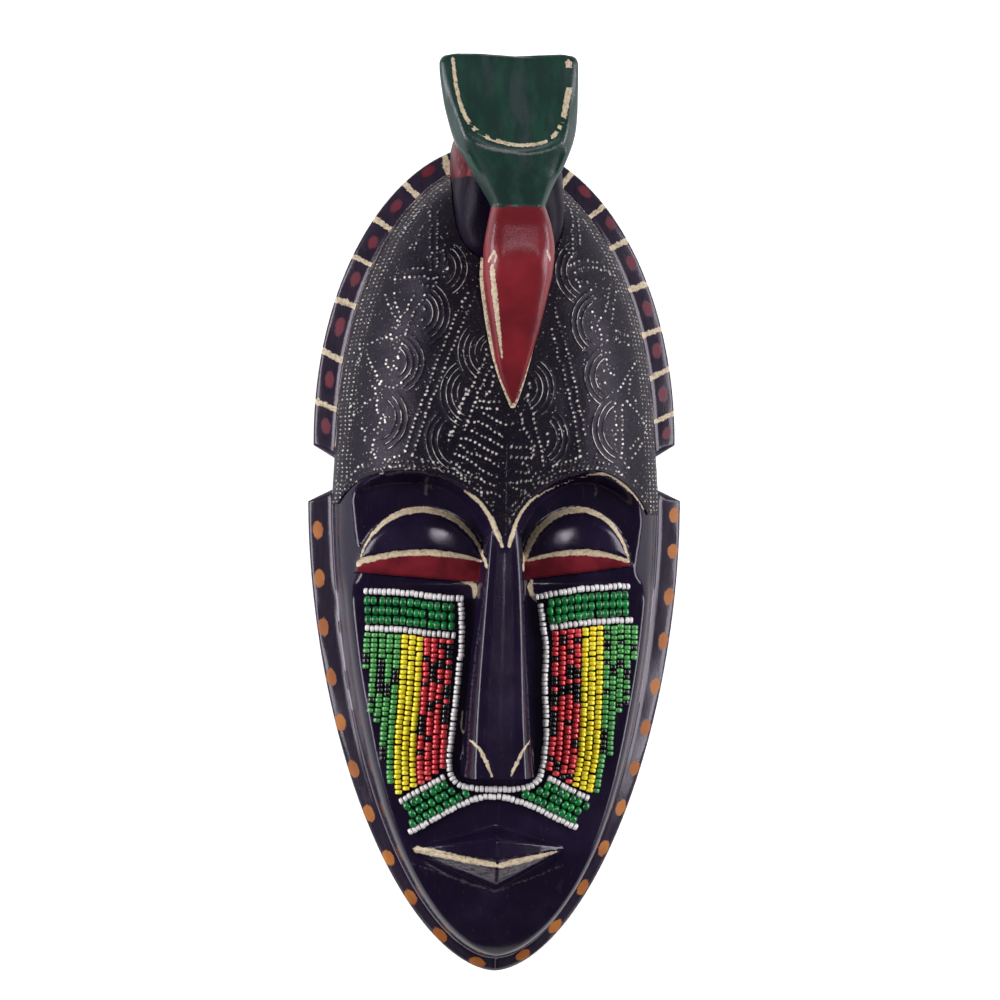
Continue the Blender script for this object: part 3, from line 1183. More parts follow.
# %% The sheet as a closed piece
def sheet_faces(shape, step):
    """Fine quads outside, coarse quads inside and a strip of long faces round the edge."""
    r, c = shape
    number = np.arange(r * c).reshape(r, c)
    fine = np.stack([number[:-1, :-1], number[:-1, 1:], number[1:, 1:], number[1:, :-1]], -1)
    rc, cc = (r - 1) // step + 1, (c - 1) // step + 1
    under = r * c + np.arange(rc * cc).reshape(rc, cc)
    back = np.stack([under[:-1, :-1], under[1:, :-1], under[1:, 1:], under[:-1, 1:]], -1)
    strips = []
    sides = [(number[0], under[0]), (number[:, -1], under[:, -1]),
             (number[-1, ::-1], under[-1, ::-1]), (number[::-1, 0], under[::-1, 0])]
    for top, low in sides:
        for k in range(len(low) - 1):
            run_out = top[k * step:(k + 1) * step + 1]
            strips.append(np.r_[run_out[::-1], low[k], low[k + 1]])
    return [fine.reshape(-1, 4), back.reshape(-1, 4), np.array(strips)]


sheet_points = np.concatenate([outer.reshape(-1, 3), inner.reshape(-1, 3)])
sheet = make_piece("embossed_sheet", sheet_points, sheet_faces(sheet_y.shape, coarse))
outward(sheet)
for key, values in (("raised", raised), ("arc_phase", arc_phase), ("arc_power", arc_power)):
    give(sheet, key, np.r_[values.ravel(), np.zeros(len(inner.reshape(-1, 3)))])
give(sheet, "edge_in", -past_foot(sheet_points[:, 0], sheet_points[:, 1]))
edge_line_y = 168 * np.sin(np.linspace(0, math.pi / 2, 200))
edge_line_x = wall_half(edge_line_y)
edge_run = run_along(edge_line_x, edge_line_y)
give(sheet, "edge_run", np.interp(sheet_points[:, 1], edge_line_y, edge_run))
sheet.data.materials.append(bpy.data.materials.new("embossed_metal"))
cutters = [make_piece(f"cutter_{k}", *solid) for k, solid in enumerate(parrot_lofts(0.45, 2))]
for cutter in cutters:
    outward(cutter)
    cutter.data.materials.append(sheet.data.materials[0])
combine(sheet, cutters, "DIFFERENCE")
print("sheet triangles:", triangle_count(sheet))
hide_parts("forehead_sheet")

# %% [markdown]
# ## Strings of glass beads
# The cheeks are covered with strings of small glass beads, glued down side by side. Every
# string stays one piece, made of many short rounded cylinders on one path. Bead size, gap
# and tilt vary a little, as seed beads do.

# %% One bead, and a string of them
bead_sides, glue_gap = 10, 0.1
short_bead = np.array([(-0.5, 0.5), (-0.46, 0.86), (-0.26, 1.0), (0.26, 1.0),
                       (0.46, 0.86), (0.5, 0.5)])
round_bead = np.array([(-0.54, 0.5), (-0.46, 0.80), (-0.22, 1.0), (0.22, 1.0),
                       (0.46, 0.80), (0.54, 0.5)])


def bead_shape(profile):
    """Points of one bead of radius 1 and length 1, with its axis along x, and its faces."""
    a = 2 * math.pi * np.arange(bead_sides) / bead_sides
    points = np.stack([np.repeat(profile[:, :1], bead_sides, 1),
                       profile[:, 1:] * np.cos(a), profile[:, 1:] * np.sin(a)], -1)
    bands = ring_quads(len(profile), bead_sides)[:, ::-1]
    count = len(profile) * bead_sides
    caps = np.array([np.arange(bead_sides), np.arange(count - bead_sides, count)[::-1]])
    return points.reshape(-1, 3), bands, caps


total_beads = 0


def string_beads(name, path, profile, radius, pitch, seed, dark_share):
    """Beads along a path over the front, each turned to the path's direction."""
    global total_beads
    rng = np.random.default_rng(seed)
    p = np.array(path, float)
    z = front_height(p[:, 0], p[:, 1]) + radius + glue_gap
    p = np.c_[p, z]
    run = np.r_[0, np.cumsum(np.linalg.norm(np.diff(p, axis=0), axis=1))]
    count = max(2, int(run[-1] / pitch))
    t = (np.arange(count) + 0.5) * run[-1] / count + rng.normal(0, 0.05, count) * pitch
    centre = np.stack([np.interp(t, run, p[:, k]) for k in range(3)], -1)
    ahead = np.stack([np.interp(t + 0.8, run, p[:, k]) for k in range(3)], -1)
    behind = np.stack([np.interp(t - 0.8, run, p[:, k]) for k in range(3)], -1)
    centre[:, :2] += rng.normal(0, 0.11, (count, 2))
    along = ahead - behind + rng.normal(0, 0.09, (count, 3))
    along /= np.linalg.norm(along, axis=1)[:, None]
    across = np.cross(along, (0, 0, 1))
    across /= np.linalg.norm(across, axis=1)[:, None]
    up = np.cross(across, along)
    size = radius * (1 + rng.normal(0, 0.04, count))
    long = pitch * (0.91 + rng.normal(0, 0.03, count))
    b, bead_bands, bead_caps = bead_shape(profile)
    points = (centre[:, None] + along[:, None] * b[None, :, :1] * long[:, None, None]
              + across[:, None] * b[None, :, 1:2] * size[:, None, None]
              + up[:, None] * b[None, :, 2:] * size[:, None, None])
    first = np.arange(count)[:, None, None] * len(b)
    piece = make_piece(name, points.reshape(-1, 3),
                       [(bead_bands[None] + first).reshape(-1, 4),
                        (bead_caps[None] + first).reshape(-1, bead_sides)])
    outward(piece)
    give(piece, "shade", np.repeat(rng.uniform(0, 1, count), len(b)))
    crown = np.clip(b[:, 2], 0, 1) ** 0.8 * (1 - 0.6 * np.abs(b[:, 0] / 0.5) ** 3)
    give(piece, "crown", np.tile(crown, count))
    dark, on = np.zeros(count), False
    for k in range(count):
        on = rng.uniform() < (0.62 if on else dark_share * 0.5)
        dark[k] = on
    give(piece, "dark", np.repeat(dark, len(b)))
    total_beads += count
    return piece


# %% Paths of the strings on each cheek
cheeks = [
    dict(name="left", side=-1, row=(61.3, 20.4), top_row=(61.3, 16.0), low_row=(61, 20.2),
         row_y=[-29.7, -33.9, -38.2, -42.4, -46.5],
         drop=smooth_curve([(13, -3.8), (20.5, -3.3), (31.6, -2.3), (45.5, -0.6), (62, 0)]),
         column_x=[59.9 - 3.4 * i for i in range(12)],
         sway=smooth_curve([(-125, 2.6), (-108, 3.4), (-92, 2.8), (-79, 1.6), (-49, 0)]),
         column_end=[-64.7, -84.7, -89.2, -106.5, -117.4, -121.8, -120.2, -118.6, -117.2,
                     -115.4, -112.6, -110.2],
         colours=["green"] * 5 + ["yellow"] * 3 + ["red"] * 4,
         band_outer=(45.4, -125.3), band_inner=(24.8, -113.8),
         band_rows=[(43.5, 23.5, 3.6), (41, 20.5, 8.1), (40.8, 14.0, 12.8)]),
    dict(name="right", side=1, row=(58.9, 21.4), top_row=(59.3, 15.6), low_row=(61, 22.4),
         row_y=[-27.7, -31.7, -35.6, -39.5, -43.1],
         drop=smooth_curve([(17, -4.7), (22.8, -3.4), (30, -2.3), (36.8, -1.3),
                            (45.8, -0.5), (58, 0)]),
         column_x=[25.3 + 3.4 * i - 0.25 * max(0, i - 6) for i in range(12)],
         sway=smooth_curve([(-122, -4.9), (-114, -3.7), (-102, -1.8), (-79, -0.6), (-49, 0)]),
         column_end=[-111.4, -113.5, -115.2, -117, -118.6, -120.2, -121.6, -121.6, -104.7,
                     -85.1, -81.5, -61.4],
         colours=["red"] * 4 + ["yellow"] * 3 + ["green"] * 5,
         band_outer=(40.3, -124.4), band_inner=(21.6, -114.3),
         band_rows=[(40.5, 20.0, 3.7), (36.8, 16.4, 8.0), (35, 10.2, 12.7)])]
white_size, column_size = (short_bead, 1.52, 2.08), (short_bead, 1.71, 2.22)
row_size = (round_bead, 2.06, 3.14)
strings = []


def add_string(name, path, size, colour, seed, dark_share=0.0):
    strings.append((string_beads(name, path, *size, seed, dark_share), name, colour))


for cheek in cheeks:
    side, seed = cheek["side"], 100 if cheek["side"] < 0 else 200
    label = cheek["name"]
    for k, kind in enumerate(("top_white", "row_1", "row_2", "row_3", "low_white")):
        x = np.linspace(*cheek[{0: "top_row", 4: "low_row"}.get(k, "row")], 40)
        path = np.c_[side * x, cheek["row_y"][k] + cheek["drop"](x)]
        white = kind.endswith("white")
        add_string(f"{label}_{kind}", path, white_size if white else row_size,
                   "white" if white else "green", seed + k)
    for i, (x, end) in enumerate(zip(cheek["column_x"], cheek["column_end"])):
        start = cheek["row_y"][4] + float(cheek["drop"](np.array(x))) - 1.9
        y = np.linspace(start, end, 40)
        path = np.c_[side * (x + cheek["sway"](y)), y]
        colour = cheek["colours"][i].replace("green", "leaf")
        outermost = (i if side < 0 else 11 - i) < 5
        share = {"red": 0.42, "yellow": 0.0, "leaf": 0.3 if outermost else 0.1}[colour]
        add_string(f"{label}_column_{i + 1}", path, column_size, colour, seed + 10 + i, share)
    (ox, oy), (ix, iy) = cheek["band_outer"], cheek["band_inner"]
    slope = (oy - iy) / (ox - ix)
    for k, (a, b, below) in enumerate([(ox, ix, 0)] + cheek["band_rows"]):
        x = np.linspace(a, b, 24)
        path = np.c_[side * x, iy + (x - ix) * slope - below]
        kind = "band_white" if k == 0 else f"band_row_{k}"
        add_string(f"{label}_{kind}", path, white_size if k == 0 else row_size,
                   "white" if k == 0 else "green", seed + 30 + k)
nose_line = [
    (-17.9, -34.8), (-17.2, -43), (-17.6, -56), (-19.3, -72), (-20.8, -86), (-22.3, -99.4),
    (-23, -106.5), (-22.1, -113.2), (-17.6, -117.8), (-9, -119.3), (0, -119.5), (8, -119.3),
    (14.6, -117.9), (18, -114.2), (20.3, -104), (21, -92), (20.4, -70), (21, -56),
    (19.8, -48), (19, -41), (18.4, -35.5)]
lip_line = [
    (-41.2, -139.1), (-31.7, -133.8), (-22.6, -128.8), (-13.5, -124.6), (-7, -123),
    (-1, -122.9), (5, -124), (16, -127.9), (25.1, -132.5), (35.1, -137.4)]
add_string("nose_string", along_line(nose_line)[0], white_size, "white", 301)
add_string("lip_string", along_line(lip_line)[0], white_size, "white", 302)
print("beads:", total_beads, "strings:", len(strings))

# %% [markdown]
# ## Materials
# Everything is painted, punched or glass, and all of it is a little worn. One shared group
# gives brushed paint its patches, grain and bump, and each material then mixes its colours.

# %% Short names for building node trees
def put(tree, kind, inputs=None, **settings):
    """Add one node; an input is a number, a colour or another node's socket."""
    node = tree.nodes.new("ShaderNode" + kind)
    for key, value in settings.items():
        setattr(node, key, value)
    for key, value in (inputs or {}).items():
        if isinstance(value, bpy.types.NodeSocket):
            tree.links.new(value, node.inputs[key])
        else:
            node.inputs[key].default_value = value
    return node


def calc(tree, operation, a, b=0.0, clamp=False):
    """One Math node's result."""
    return put(tree, "Math", {0: a, 1: b}, operation=operation, use_clamp=clamp).outputs[0]


def smooth_step(tree, value, low, high):
    """0 below low and 1 above high, with a soft change between."""
    return put(tree, "MapRange", {"Value": value, "From Min": low, "From Max": high},
               interpolation_type="SMOOTHSTEP").outputs["Result"]


def tint(tree, share, a, b):
    """Mix two colours."""
    return put(tree, "Mix", {0: share, 6: a, 7: b}, data_type="RGBA").outputs[2]


def field(tree, name):
    return put(tree, "Attribute", attribute_name=name).outputs["Fac"]


def noise(tree, place, size_mm, detail=3.0, rough=0.5):
    """Noise whose lumps are about size_mm across."""
    return put(tree, "TexNoise", {"Vector": place, "Scale": 1000 / size_mm,
                                  "Detail": detail, "Roughness": rough}).outputs[0]


def start_material(name):
    """Empty a material and give it a Principled shader and an output. Returns its node
    tree, the shader and the piece's own place."""
    made = bpy.data.materials.get(name) or bpy.data.materials.new(name)
    made.use_nodes = True
    tree = made.node_tree
    tree.nodes.clear()
    shader = put(tree, "BsdfPrincipled")
    out = put(tree, "OutputMaterial")
    tree.links.new(shader.outputs[0], out.inputs[0])
    place = put(tree, "TexCoord").outputs["Object"]
    return tree, shader, place


# %% Brushed paint, shared by the wood's materials
def brushed_paint_group():
    """Patches, fine grain and a bumped normal for hand-painted carved wood."""
    group = bpy.data.node_groups.new("brushed_paint", "ShaderNodeTree")
    for name, kind in (("Place", "NodeSocketVector"), ("Strength", "NodeSocketFloat")):
        group.interface.new_socket(name, in_out="INPUT", socket_type=kind)
    for name, kind in (("Patch", "NodeSocketFloat"), ("Grain", "NodeSocketFloat"),
                       ("Normal", "NodeSocketVector")):
        group.interface.new_socket(name, in_out="OUTPUT", socket_type=kind)
    enter, leave = group.nodes.new("NodeGroupInput"), group.nodes.new("NodeGroupOutput")
    place, strength = enter.outputs["Place"], enter.outputs["Strength"]
    stretched = put(group, "Mapping", {"Vector": place, "Scale": (1.0, 0.22, 1.0)}).outputs[0]
    patch = noise(group, place, 24, 3, 0.55)
    streak = noise(group, stretched, 2.2, 4, 0.6)
    grain = noise(group, place, 0.9, 3, 0.6)
    height = calc(group, "ADD", calc(group, "MULTIPLY", streak, 0.6), grain)
    bump = put(group, "Bump", {"Height": height, "Strength": strength, "Distance": 0.0004})
    group.links.new(patch, leave.inputs["Patch"])
    group.links.new(streak, leave.inputs["Grain"])
    group.links.new(bump.outputs[0], leave.inputs["Normal"])
    return group


brushed_paint = brushed_paint_group()


def brushed(tree, place, strength):
    """The group's three outputs in a material."""
    node = tree.nodes.new("ShaderNodeGroup")
    node.node_tree = brushed_paint
    tree.links.new(place, node.inputs["Place"])
    node.inputs["Strength"].default_value = strength
    return [node.outputs[k] for k in ("Patch", "Grain", "Normal")]


# %% Black paint with its lines, lids, dots and scraped lip
cream = (0.57, 0.47, 0.335, 1)
dull_cream = (0.28, 0.20, 0.13, 1)


def painted_line(tree, name, wobble, low=-0.12, high=0.15):
    """Mask of the painted line called `name`: half-width less distance, with a ragged rim."""
    away = calc(tree, "ABSOLUTE", field(tree, name + "_offset"))
    inside_line = calc(tree, "SUBTRACT", field(tree, name + "_half"), away)
    return smooth_step(tree, calc(tree, "ADD", inside_line, wobble), low, high)


def lacquered(shader, level):
    """A dark lacquer whose reflections are weak and a little violet."""
    shader.inputs["Specular IOR Level"].default_value = level
    shader.inputs["Specular Tint"].default_value = (0.95, 0.89, 1.0, 1)


def flaked_line(tree, place, line):
    """A painted line less the chips that have fallen out of it."""
    chips = smooth_step(tree, noise(tree, place, 1.1, 3, 0.7), 0.60, 0.68)
    return calc(tree, "MULTIPLY", line, calc(tree, "SUBTRACT", 1.0,
                calc(tree, "MULTIPLY", chips, 0.75)))


tree, shader, place = start_material("black_paint")
lacquered(shader, 0.29)
patch, grain, normal = brushed(tree, place, 0.10)
black = tint(tree, smooth_step(tree, patch, 0.4, 0.72), (0.0078, 0.0044, 0.0160, 1),
             (0.0142, 0.0086, 0.0258, 1))
dust = calc(tree, "MULTIPLY", smooth_step(tree, grain, 0.56, 0.8), 0.3)
colour = tint(tree, dust, black, (0.040, 0.030, 0.046, 1))
speck = smooth_step(tree, noise(tree, place, 1.0, 2, 0.6), 0.72, 0.78)
colour = tint(tree, calc(tree, "MULTIPLY", speck, 0.5), colour, (0.17, 0.15, 0.15, 1))
ragged = calc(tree, "MULTIPLY", calc(tree, "SUBTRACT", noise(tree, place, 2.2, 3), 0.5), 1.4)
fine = calc(tree, "SUBTRACT", noise(tree, place, 0.8, 3, 0.7), 0.5)
wobble = calc(tree, "ADD", ragged, calc(tree, "MULTIPLY", fine, 1.7))

crease = calc(tree, "ABSOLUTE", calc(tree, "ADD", field(tree, "crease"), 0.25))
crease = calc(tree, "ADD", crease, calc(tree, "MULTIPLY", wobble, 0.15))
crease = calc(tree, "MULTIPLY", smooth_step(tree, crease, 0.62, 0.25), 0.75)
colour = tint(tree, crease, colour, (0.17, 0.14, 0.17, 1))
flat_rim = smooth_step(tree, field(tree, "crease"), 0.3, 2.5)
flat_rim = calc(tree, "MULTIPLY", flat_rim, calc(tree, "MULTIPLY", grain, 0.5))
colour = tint(tree, flat_rim, colour, (0.055, 0.042, 0.055, 1))
scraped = smooth_step(tree, calc(tree, "ADD", field(tree, "scraped"), ragged), 0.2, 1.6)
scratches = put(tree, "Mapping", {"Vector": place, "Scale": (0.25, 1.4, 1.0)}).outputs[0]
scratches = noise(tree, scratches, 1.4, 4, 0.7)
scraped = calc(tree, "MULTIPLY", scraped, smooth_step(tree, scratches, 0.34, 0.62))
colour = tint(tree, calc(tree, "MULTIPLY", scraped, 0.7), colour, (0.15, 0.135, 0.15, 1))
scuff = painted_line(tree, "scuff", calc(tree, "MULTIPLY", wobble, 2.0), 0.0, 1.0)
colour = tint(tree, calc(tree, "MULTIPLY", scuff, 0.5), colour, (0.10, 0.09, 0.10, 1))

lids = smooth_step(tree, calc(tree, "ADD", field(tree, "lid"),
                              calc(tree, "MULTIPLY", wobble, 0.5)), -0.1, 0.25)
red = tint(tree, smooth_step(tree, noise(tree, place, 12, 3, 0.5), 0.35, 0.65),
           (0.095, 0.008, 0.014, 1), (0.165, 0.014, 0.022, 1))
colour = tint(tree, lids, colour, red)

line = calc(tree, "MAXIMUM", painted_line(tree, "line", wobble),
            painted_line(tree, "second_line", wobble))
line = flaked_line(tree, place, line)
worn_cream = tint(tree, smooth_step(tree, noise(tree, place, 1.6, 4, 0.7), 0.42, 0.72),
                  cream, dull_cream)
colour = tint(tree, line, colour, worn_cream)

# %% Rim marks
mark, across = field(tree, "rim_mark"), field(tree, "rim_across")
split = put(tree, "SeparateXYZ", {0: place})
halo = calc(tree, "GREATER_THAN", split.outputs[1], 0.024)
top_side = calc(tree, "GREATER_THAN", split.outputs[2], 0.0072)
unit = calc(tree, "SUBTRACT", calc(tree, "FRACT", calc(tree, "ADD", mark, 0.5)), 0.5)
along = calc(tree, "MULTIPLY", unit, 20.0)
reach = calc(tree, "SQRT", calc(tree, "ADD",
             calc(tree, "POWER", calc(tree, "DIVIDE", along, 3.6), 2.0),
             calc(tree, "POWER", calc(tree, "DIVIDE", across, 2.3), 2.0)))
reach = calc(tree, "ADD", reach, calc(tree, "MULTIPLY", wobble, 0.28))
soft_dot = calc(tree, "MULTIPLY", smooth_step(tree, reach, 1.2, 0.55), halo)
firm_dot = calc(tree, "MULTIPLY", smooth_step(tree, reach, 1.12, 0.92),
                calc(tree, "SUBTRACT", 1.0, halo))
dot = calc(tree, "MULTIPLY", calc(tree, "ADD", soft_dot, firm_dot), top_side)
on_rim_mark = calc(tree, "LESS_THAN", calc(tree, "ABSOLUTE", across), 8.0)
dot = calc(tree, "MULTIPLY", dot, on_rim_mark)
ochre = tint(tree, smooth_step(tree, patch, 0.35, 0.65), (0.27, 0.080, 0.013, 1),
             (0.39, 0.135, 0.024, 1))
dot_colour = tint(tree, halo, ochre, (0.15, 0.008, 0.018, 1))
dot_fade = calc(tree, "MULTIPLY", dot, calc(tree, "SUBTRACT", 1.0,
                calc(tree, "MULTIPLY", calc(tree, "MULTIPLY", grain, halo), 0.5)))
colour = tint(tree, dot_fade, colour, dot_colour)
half_unit = calc(tree, "SUBTRACT", calc(tree, "FRACT", mark), 0.5)
tick = calc(tree, "ABSOLUTE", calc(tree, "MULTIPLY", half_unit, 20.0))
tick = calc(tree, "ADD", tick, wobble)
tick = calc(tree, "MULTIPLY", smooth_step(tree, tick, 1.35, 1.05),
            calc(tree, "MULTIPLY", halo, calc(tree, "MULTIPLY", top_side, on_rim_mark)))
tick = flaked_line(tree, place, tick)
colour = tint(tree, tick, colour, worn_cream)
inside = field(tree, "inside")
bare = tint(tree, grain, (0.030, 0.018, 0.011, 1), (0.075, 0.045, 0.027, 1))
colour = tint(tree, inside, colour, bare)
paint = calc(tree, "MAXIMUM", calc(tree, "MAXIMUM", line, tick), dot)
gloss = calc(tree, "ADD", 0.12, calc(tree, "MULTIPLY", patch, 0.09))
gloss = calc(tree, "ADD", gloss, calc(tree, "MULTIPLY", paint, 0.35))
gloss = calc(tree, "ADD", gloss, calc(tree, "MULTIPLY", inside, 0.35), clamp=True)
tree.links.new(colour, shader.inputs["Base Color"])
tree.links.new(gloss, shader.inputs["Roughness"])
tree.links.new(normal, shader.inputs["Normal"])

# %% The bird's dark body with its rubbed red shoulder
tree, shader, place = start_material("body_paint")
lacquered(shader, 0.08)
patch, grain, normal = brushed(tree, place, 0.4)
black = tint(tree, smooth_step(tree, patch, 0.4, 0.72), (0.0025, 0.0010, 0.0062, 1),
             (0.0080, 0.0045, 0.0130, 1))
dust = calc(tree, "MULTIPLY", smooth_step(tree, grain, 0.58, 0.75), 0.4)
colour = tint(tree, dust, black, (0.050, 0.042, 0.055, 1))
ragged = calc(tree, "MULTIPLY", calc(tree, "SUBTRACT", noise(tree, place, 2.2, 3), 0.5), 3.0)
stem = smooth_step(tree, calc(tree, "ADD", field(tree, "stem"), ragged), 0.0, 1.0)
upright = put(tree, "Mapping", {"Vector": place, "Scale": (1.0, 0.3, 1.0)}).outputs[0]
stem_red = tint(tree, smooth_step(tree, noise(tree, upright, 1.2, 4, 0.7), 0.5, 0.64),
                (0.055, 0.004, 0.009, 1), (0.21, 0.040, 0.052, 1))
colour = tint(tree, stem, colour, stem_red)
tree.links.new(colour, shader.inputs["Base Color"])
shader.inputs["Roughness"].default_value = 0.36
tree.links.new(normal, shader.inputs["Normal"])

# %% The bird's green tail and red head
tree, shader, place = start_material("bird_paint")
lacquered(shader, 0.42)
patch, _, normal = brushed(tree, place, 0.3)
split = put(tree, "SeparateXYZ", {0: place})
ragged = calc(tree, "MULTIPLY", calc(tree, "SUBTRACT", noise(tree, place, 3.0, 3), 0.5), 0.004)
is_tail = smooth_step(tree, calc(tree, "ADD", split.outputs[1], ragged), 0.1402, 0.1407)
stretched = put(tree, "Mapping", {"Vector": place, "Scale": (1.0, 0.15, 1.0)}).outputs[0]
streaks = smooth_step(tree, noise(tree, stretched, 6, 4, 0.6), 0.42, 0.7)
green = tint(tree, streaks, (0.010, 0.029, 0.024, 1), (0.012, 0.047, 0.032, 1))
haze = smooth_step(tree, noise(tree, stretched, 11, 3, 0.6), 0.5, 0.72)
green = tint(tree, calc(tree, "MULTIPLY", haze, 0.5), green, (0.045, 0.060, 0.062, 1))
head = tint(tree, smooth_step(tree, patch, 0.35, 0.7), (0.12, 0.009, 0.014, 1),
            (0.20, 0.013, 0.020, 1))
colour = tint(tree, is_tail, head, green)
rub = smooth_step(tree, noise(tree, place, 1.1, 4, 0.75), 0.66, 0.78)
colour = tint(tree, calc(tree, "MULTIPLY", rub, 0.35), colour, (0.32, 0.27, 0.20, 1))
wobble = calc(tree, "MULTIPLY",
              calc(tree, "SUBTRACT", noise(tree, place, 1.3, 4, 0.65), 0.5), 1.8)
scuff = painted_line(tree, "scuff", wobble, -0.2, 0.6)
colour = tint(tree, calc(tree, "MULTIPLY", scuff, 0.7), colour, (0.16, 0.15, 0.15, 1))
line = calc(tree, "MAXIMUM", painted_line(tree, "line", wobble),
            painted_line(tree, "second_line", wobble))
line = flaked_line(tree, place, line)
worn_cream = tint(tree, smooth_step(tree, noise(tree, place, 1.6, 4, 0.7), 0.42, 0.72),
                  cream, dull_cream)
colour = tint(tree, line, colour, worn_cream)
gloss = calc(tree, "ADD", calc(tree, "MULTIPLY", patch, 0.2), 0.2)
gloss = calc(tree, "ADD", gloss, calc(tree, "MULTIPLY", line, 0.3), clamp=True)
tree.links.new(colour, shader.inputs["Base Color"])
tree.links.new(gloss, shader.inputs["Roughness"])
tree.links.new(normal, shader.inputs["Normal"])

# %% Cream filler round the beak
tree, shader, place = start_material("cream_filler")
normal = brushed(tree, place, 0.9)[2]
lumps = noise(tree, place, 1.5, 4, 0.7)
colour = tint(tree, smooth_step(tree, lumps, 0.42, 0.66), cream, (0.12, 0.085, 0.055, 1))
tree.links.new(colour, shader.inputs["Base Color"])
shader.inputs["Roughness"].default_value = 0.7
tree.links.new(normal, shader.inputs["Normal"])

# %% Blackened embossed metal
tree, shader, place = start_material("embossed_metal")
worn = noise(tree, place, 1.3, 4, 0.7)
cloud = noise(tree, place, 18, 3, 0.5)
ridge = field(tree, "raised")


def lattice_dots(tree, along, across, spacing_along, spacing_across, size):
    """Round dots on a lattice: 1 in the middle of each, 0 past `size` mm from it."""
    total = 0.0
    for value, spacing in ((along, spacing_along), (across, spacing_across)):
        cell = calc(tree, "FRACT", calc(tree, "DIVIDE", value, spacing))
        away = calc(tree, "MULTIPLY", calc(tree, "SUBTRACT", cell, 0.5), spacing)
        total = calc(tree, "ADD", total, calc(tree, "POWER", calc(tree, "ABSOLUTE", away), 2.0))
    return smooth_step(tree, calc(tree, "SQRT", total), size, size * 0.35)


edge_in = field(tree, "edge_in")
sway = calc(tree, "MULTIPLY", calc(tree, "SUBTRACT", noise(tree, place, 7, 2), 0.5), 1.8)
border = lattice_dots(tree, field(tree, "edge_run"), calc(tree, "ADD", edge_in, sway),
                      1.95, 1.9, 0.64)
border = calc(tree, "MULTIPLY", border, smooth_step(tree, edge_in, 7.4, 6.2))
border = calc(tree, "MULTIPLY", border,
              smooth_step(tree, noise(tree, place, 3.0, 2, 0.6), 0.22, 0.60))
border = calc(tree, "MULTIPLY", border, 0.82)
from_line = calc(tree, "SUBTRACT", calc(tree, "FRACT",
                 calc(tree, "ADD", field(tree, "arc_phase"), 0.5)), 0.5)
traced = smooth_step(tree, calc(tree, "ABSOLUTE", from_line), 0.15, 0.03)
traced = calc(tree, "MULTIPLY", traced,
              calc(tree, "MULTIPLY", field(tree, "arc_power"), 0.78))
traced = calc(tree, "MULTIPLY", traced,
              smooth_step(tree, noise(tree, place, 6.0, 2, 0.5), 0.20, 0.68))
tiny = put(tree, "TexVoronoi", {"Vector": place, "Scale": 1000 / 2.1, "Randomness": 0.75})
tiny = smooth_step(tree, tiny.outputs["Distance"], 0.30, 0.12)
tiny = calc(tree, "MULTIPLY", tiny,
            smooth_step(tree, noise(tree, place, 7.0, 3, 0.6), 0.38, 0.58))
tiny = calc(tree, "MULTIPLY", tiny, 0.62)
speck = smooth_step(tree, noise(tree, place, 0.9, 3, 0.7), 0.56, 0.74)
fine_marks = calc(tree, "MAXIMUM", calc(tree, "MAXIMUM", border, traced), tiny)
ridge = calc(tree, "MAXIMUM", ridge, fine_marks)
bright = smooth_step(tree, calc(tree, "ADD", ridge, calc(tree, "MULTIPLY",
                     calc(tree, "SUBTRACT", worn, 0.5), 1.0)), 0.30, 1.05)
dark = tint(tree, cloud, (0.0030, 0.0016, 0.0065, 1), (0.0095, 0.0062, 0.0135, 1))
dark = tint(tree, calc(tree, "MULTIPLY", speck, 0.45), dark, (0.13, 0.115, 0.12, 1))
colour = tint(tree, bright, dark, (0.64, 0.61, 0.58, 1))
lumps = calc(tree, "ADD", calc(tree, "MULTIPLY", worn, 0.35),
             calc(tree, "MULTIPLY", fine_marks, 0.9))
bump = put(tree, "Bump", {"Height": lumps, "Strength": 0.5, "Distance": 0.0004}).outputs[0]
tree.links.new(colour, shader.inputs["Base Color"])
tree.links.new(calc(tree, "ADD", 0.34, calc(tree, "MULTIPLY", worn, 0.2)),
               shader.inputs["Roughness"])
shader.inputs["Metallic"].default_value = 0.3
lacquered(shader, 0.20)
tree.links.new(bump, shader.inputs["Normal"])

# %% Glass beads
bead_colours = dict(
    white=((0.74, 0.71, 0.71, 1), (0.62, 0.59, 0.61, 1), (0.22, 0.19, 0.22, 1), 0.3),
    green=((0.003, 0.072, 0.022, 1), (0.005, 0.21, 0.040, 1), (0.001, 0.030, 0.014, 1), 0.14),
    leaf=((0.040, 0.21, 0.048, 1), (0.070, 0.33, 0.075, 1), (0.008, 0.045, 0.014, 1), 0.16),
    yellow=((0.84, 0.62, 0.01, 1), (0.74, 0.66, 0.03, 1), (0.20, 0.13, 0.004, 1), 0.18),
    red=((0.68, 0.030, 0.045, 1), (0.56, 0.045, 0.055, 1), (0.13, 0.008, 0.014, 1), 0.16))


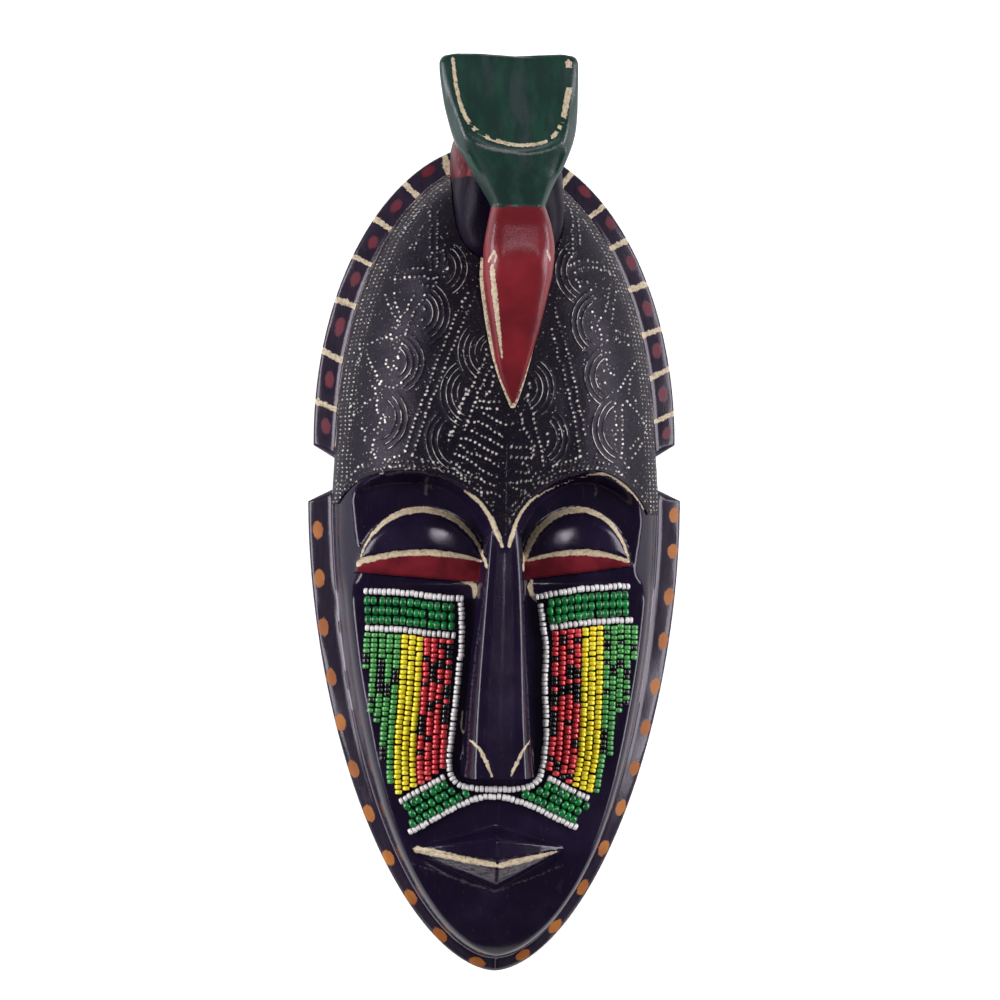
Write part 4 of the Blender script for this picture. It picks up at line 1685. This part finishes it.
def bead_material(name, first, second, deep, roughness):
    """Glass that varies from bead to bead and deepens toward each bead's sides and ends,
    with black beads where the string has them."""
    tree, shader, place = start_material(name)
    cloud = noise(tree, place, 6, 2)
    share = calc(tree, "ADD", calc(tree, "MULTIPLY", field(tree, "shade"), 0.75),
                 calc(tree, "MULTIPLY", cloud, 0.25))
    colour = tint(tree, share, first, second)
    colour = tint(tree, smooth_step(tree, field(tree, "crown"), 0.0, 0.65), deep, colour)
    colour = tint(tree, field(tree, "dark"), colour, (0.006, 0.006, 0.008, 1))
    ripple = put(tree, "Bump", {"Height": noise(tree, place, 0.8, 2), "Strength": 0.12,
                                "Distance": 0.0003}).outputs[0]
    tree.links.new(colour, shader.inputs["Base Color"])
    tree.links.new(ripple, shader.inputs["Normal"])
    shader.inputs["Roughness"].default_value = roughness
    shader.inputs["Coat Weight"].default_value = 0.28
    shader.inputs["Coat Roughness"].default_value = 0.06
    return bpy.data.materials[name]


glass = {key: bead_material(f"{key}_glass", *value) for key, value in bead_colours.items()}
for piece, name, colour in strings:
    piece.data.materials.append(glass[colour])
    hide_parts(name)
for piece in [wood, sheet] + [s[0] for s in strings]:
    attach(piece, "root")

# %% [markdown]
# ## Floor, light and camera
# The mask lies face up on a pale floor, and the camera looks straight down with a slight
# lean to the left, as the photograph was taken.

# %% Studio
floor_mesh = bpy.data.meshes.new("floor")
floor_mesh.from_pydata([(-3, -3, 0), (3, -3, 0), (3, 3, 0), (-3, 3, 0)], [], [(0, 1, 2, 3)])
floor = bpy.data.objects.new("floor", floor_mesh)
bpy.context.scene.collection.objects.link(floor)
tree, shader, place = start_material("pale_floor")
soft = noise(tree, place, 400, 2)
tree.links.new(tint(tree, soft, (0.93, 0.93, 0.93, 1), (0.95, 0.95, 0.95, 1)),
               shader.inputs["Base Color"])
shader.inputs["Roughness"].default_value = 0.9
shader.inputs["Emission Color"].default_value = (1, 1, 1, 1)
seen = put(tree, "LightPath").outputs["Is Camera Ray"]
tree.links.new(calc(tree, "MULTIPLY", seen, 0.5), shader.inputs["Emission Strength"])
floor_mesh.materials.append(bpy.data.materials["pale_floor"])

world = bpy.data.worlds.new("studio")
world.use_nodes = True
world.node_tree.nodes["Background"].inputs["Color"].default_value = (1, 1, 1, 1)
world.node_tree.nodes["Background"].inputs["Strength"].default_value = 0.07
bpy.context.scene.world = world


def soft_box(name, place, target, size, power):
    """A rectangular area light turned to a target."""
    light = bpy.data.lights.new(name, "AREA")
    light.shape, light.size, light.size_y, light.energy = "RECTANGLE", *size, power
    lamp = bpy.data.objects.new(name, light)
    bpy.context.scene.collection.objects.link(lamp)
    aim = (Vector(target) - Vector(place)).to_track_quat("-Z", "Y")
    lamp.location, lamp.rotation_euler = place, aim.to_euler()
    return lamp


soft_box("left box", (-1.25, 0.12, 0.62), (0, 0, 0.05), (1.3, 0.52), 27)
soft_box("right box", (1.25, 0.12, 0.61), (0, 0, 0.05), (1.4, 0.54), 26)
soft_box("front box", (0.11, 0.48, 1.62), (0.11, 0, 0.05), (0.16, 0.14), 3.1)

camera_lean = math.radians(3.5)
camera_distance = 1.5
camera_data = bpy.data.cameras.new("camera")
camera_data.lens, camera_data.sensor_width = 115.344, 36
camera = bpy.data.objects.new("camera", camera_data)
camera.location = (0.003 - camera_distance * math.sin(camera_lean), 0.0115,
                   camera_distance * math.cos(camera_lean))
camera.rotation_euler = (0, -camera_lean, 0)
bpy.context.scene.collection.objects.link(camera)
bpy.context.scene.camera = camera
bpy.context.scene.view_settings.view_transform = "Standard"
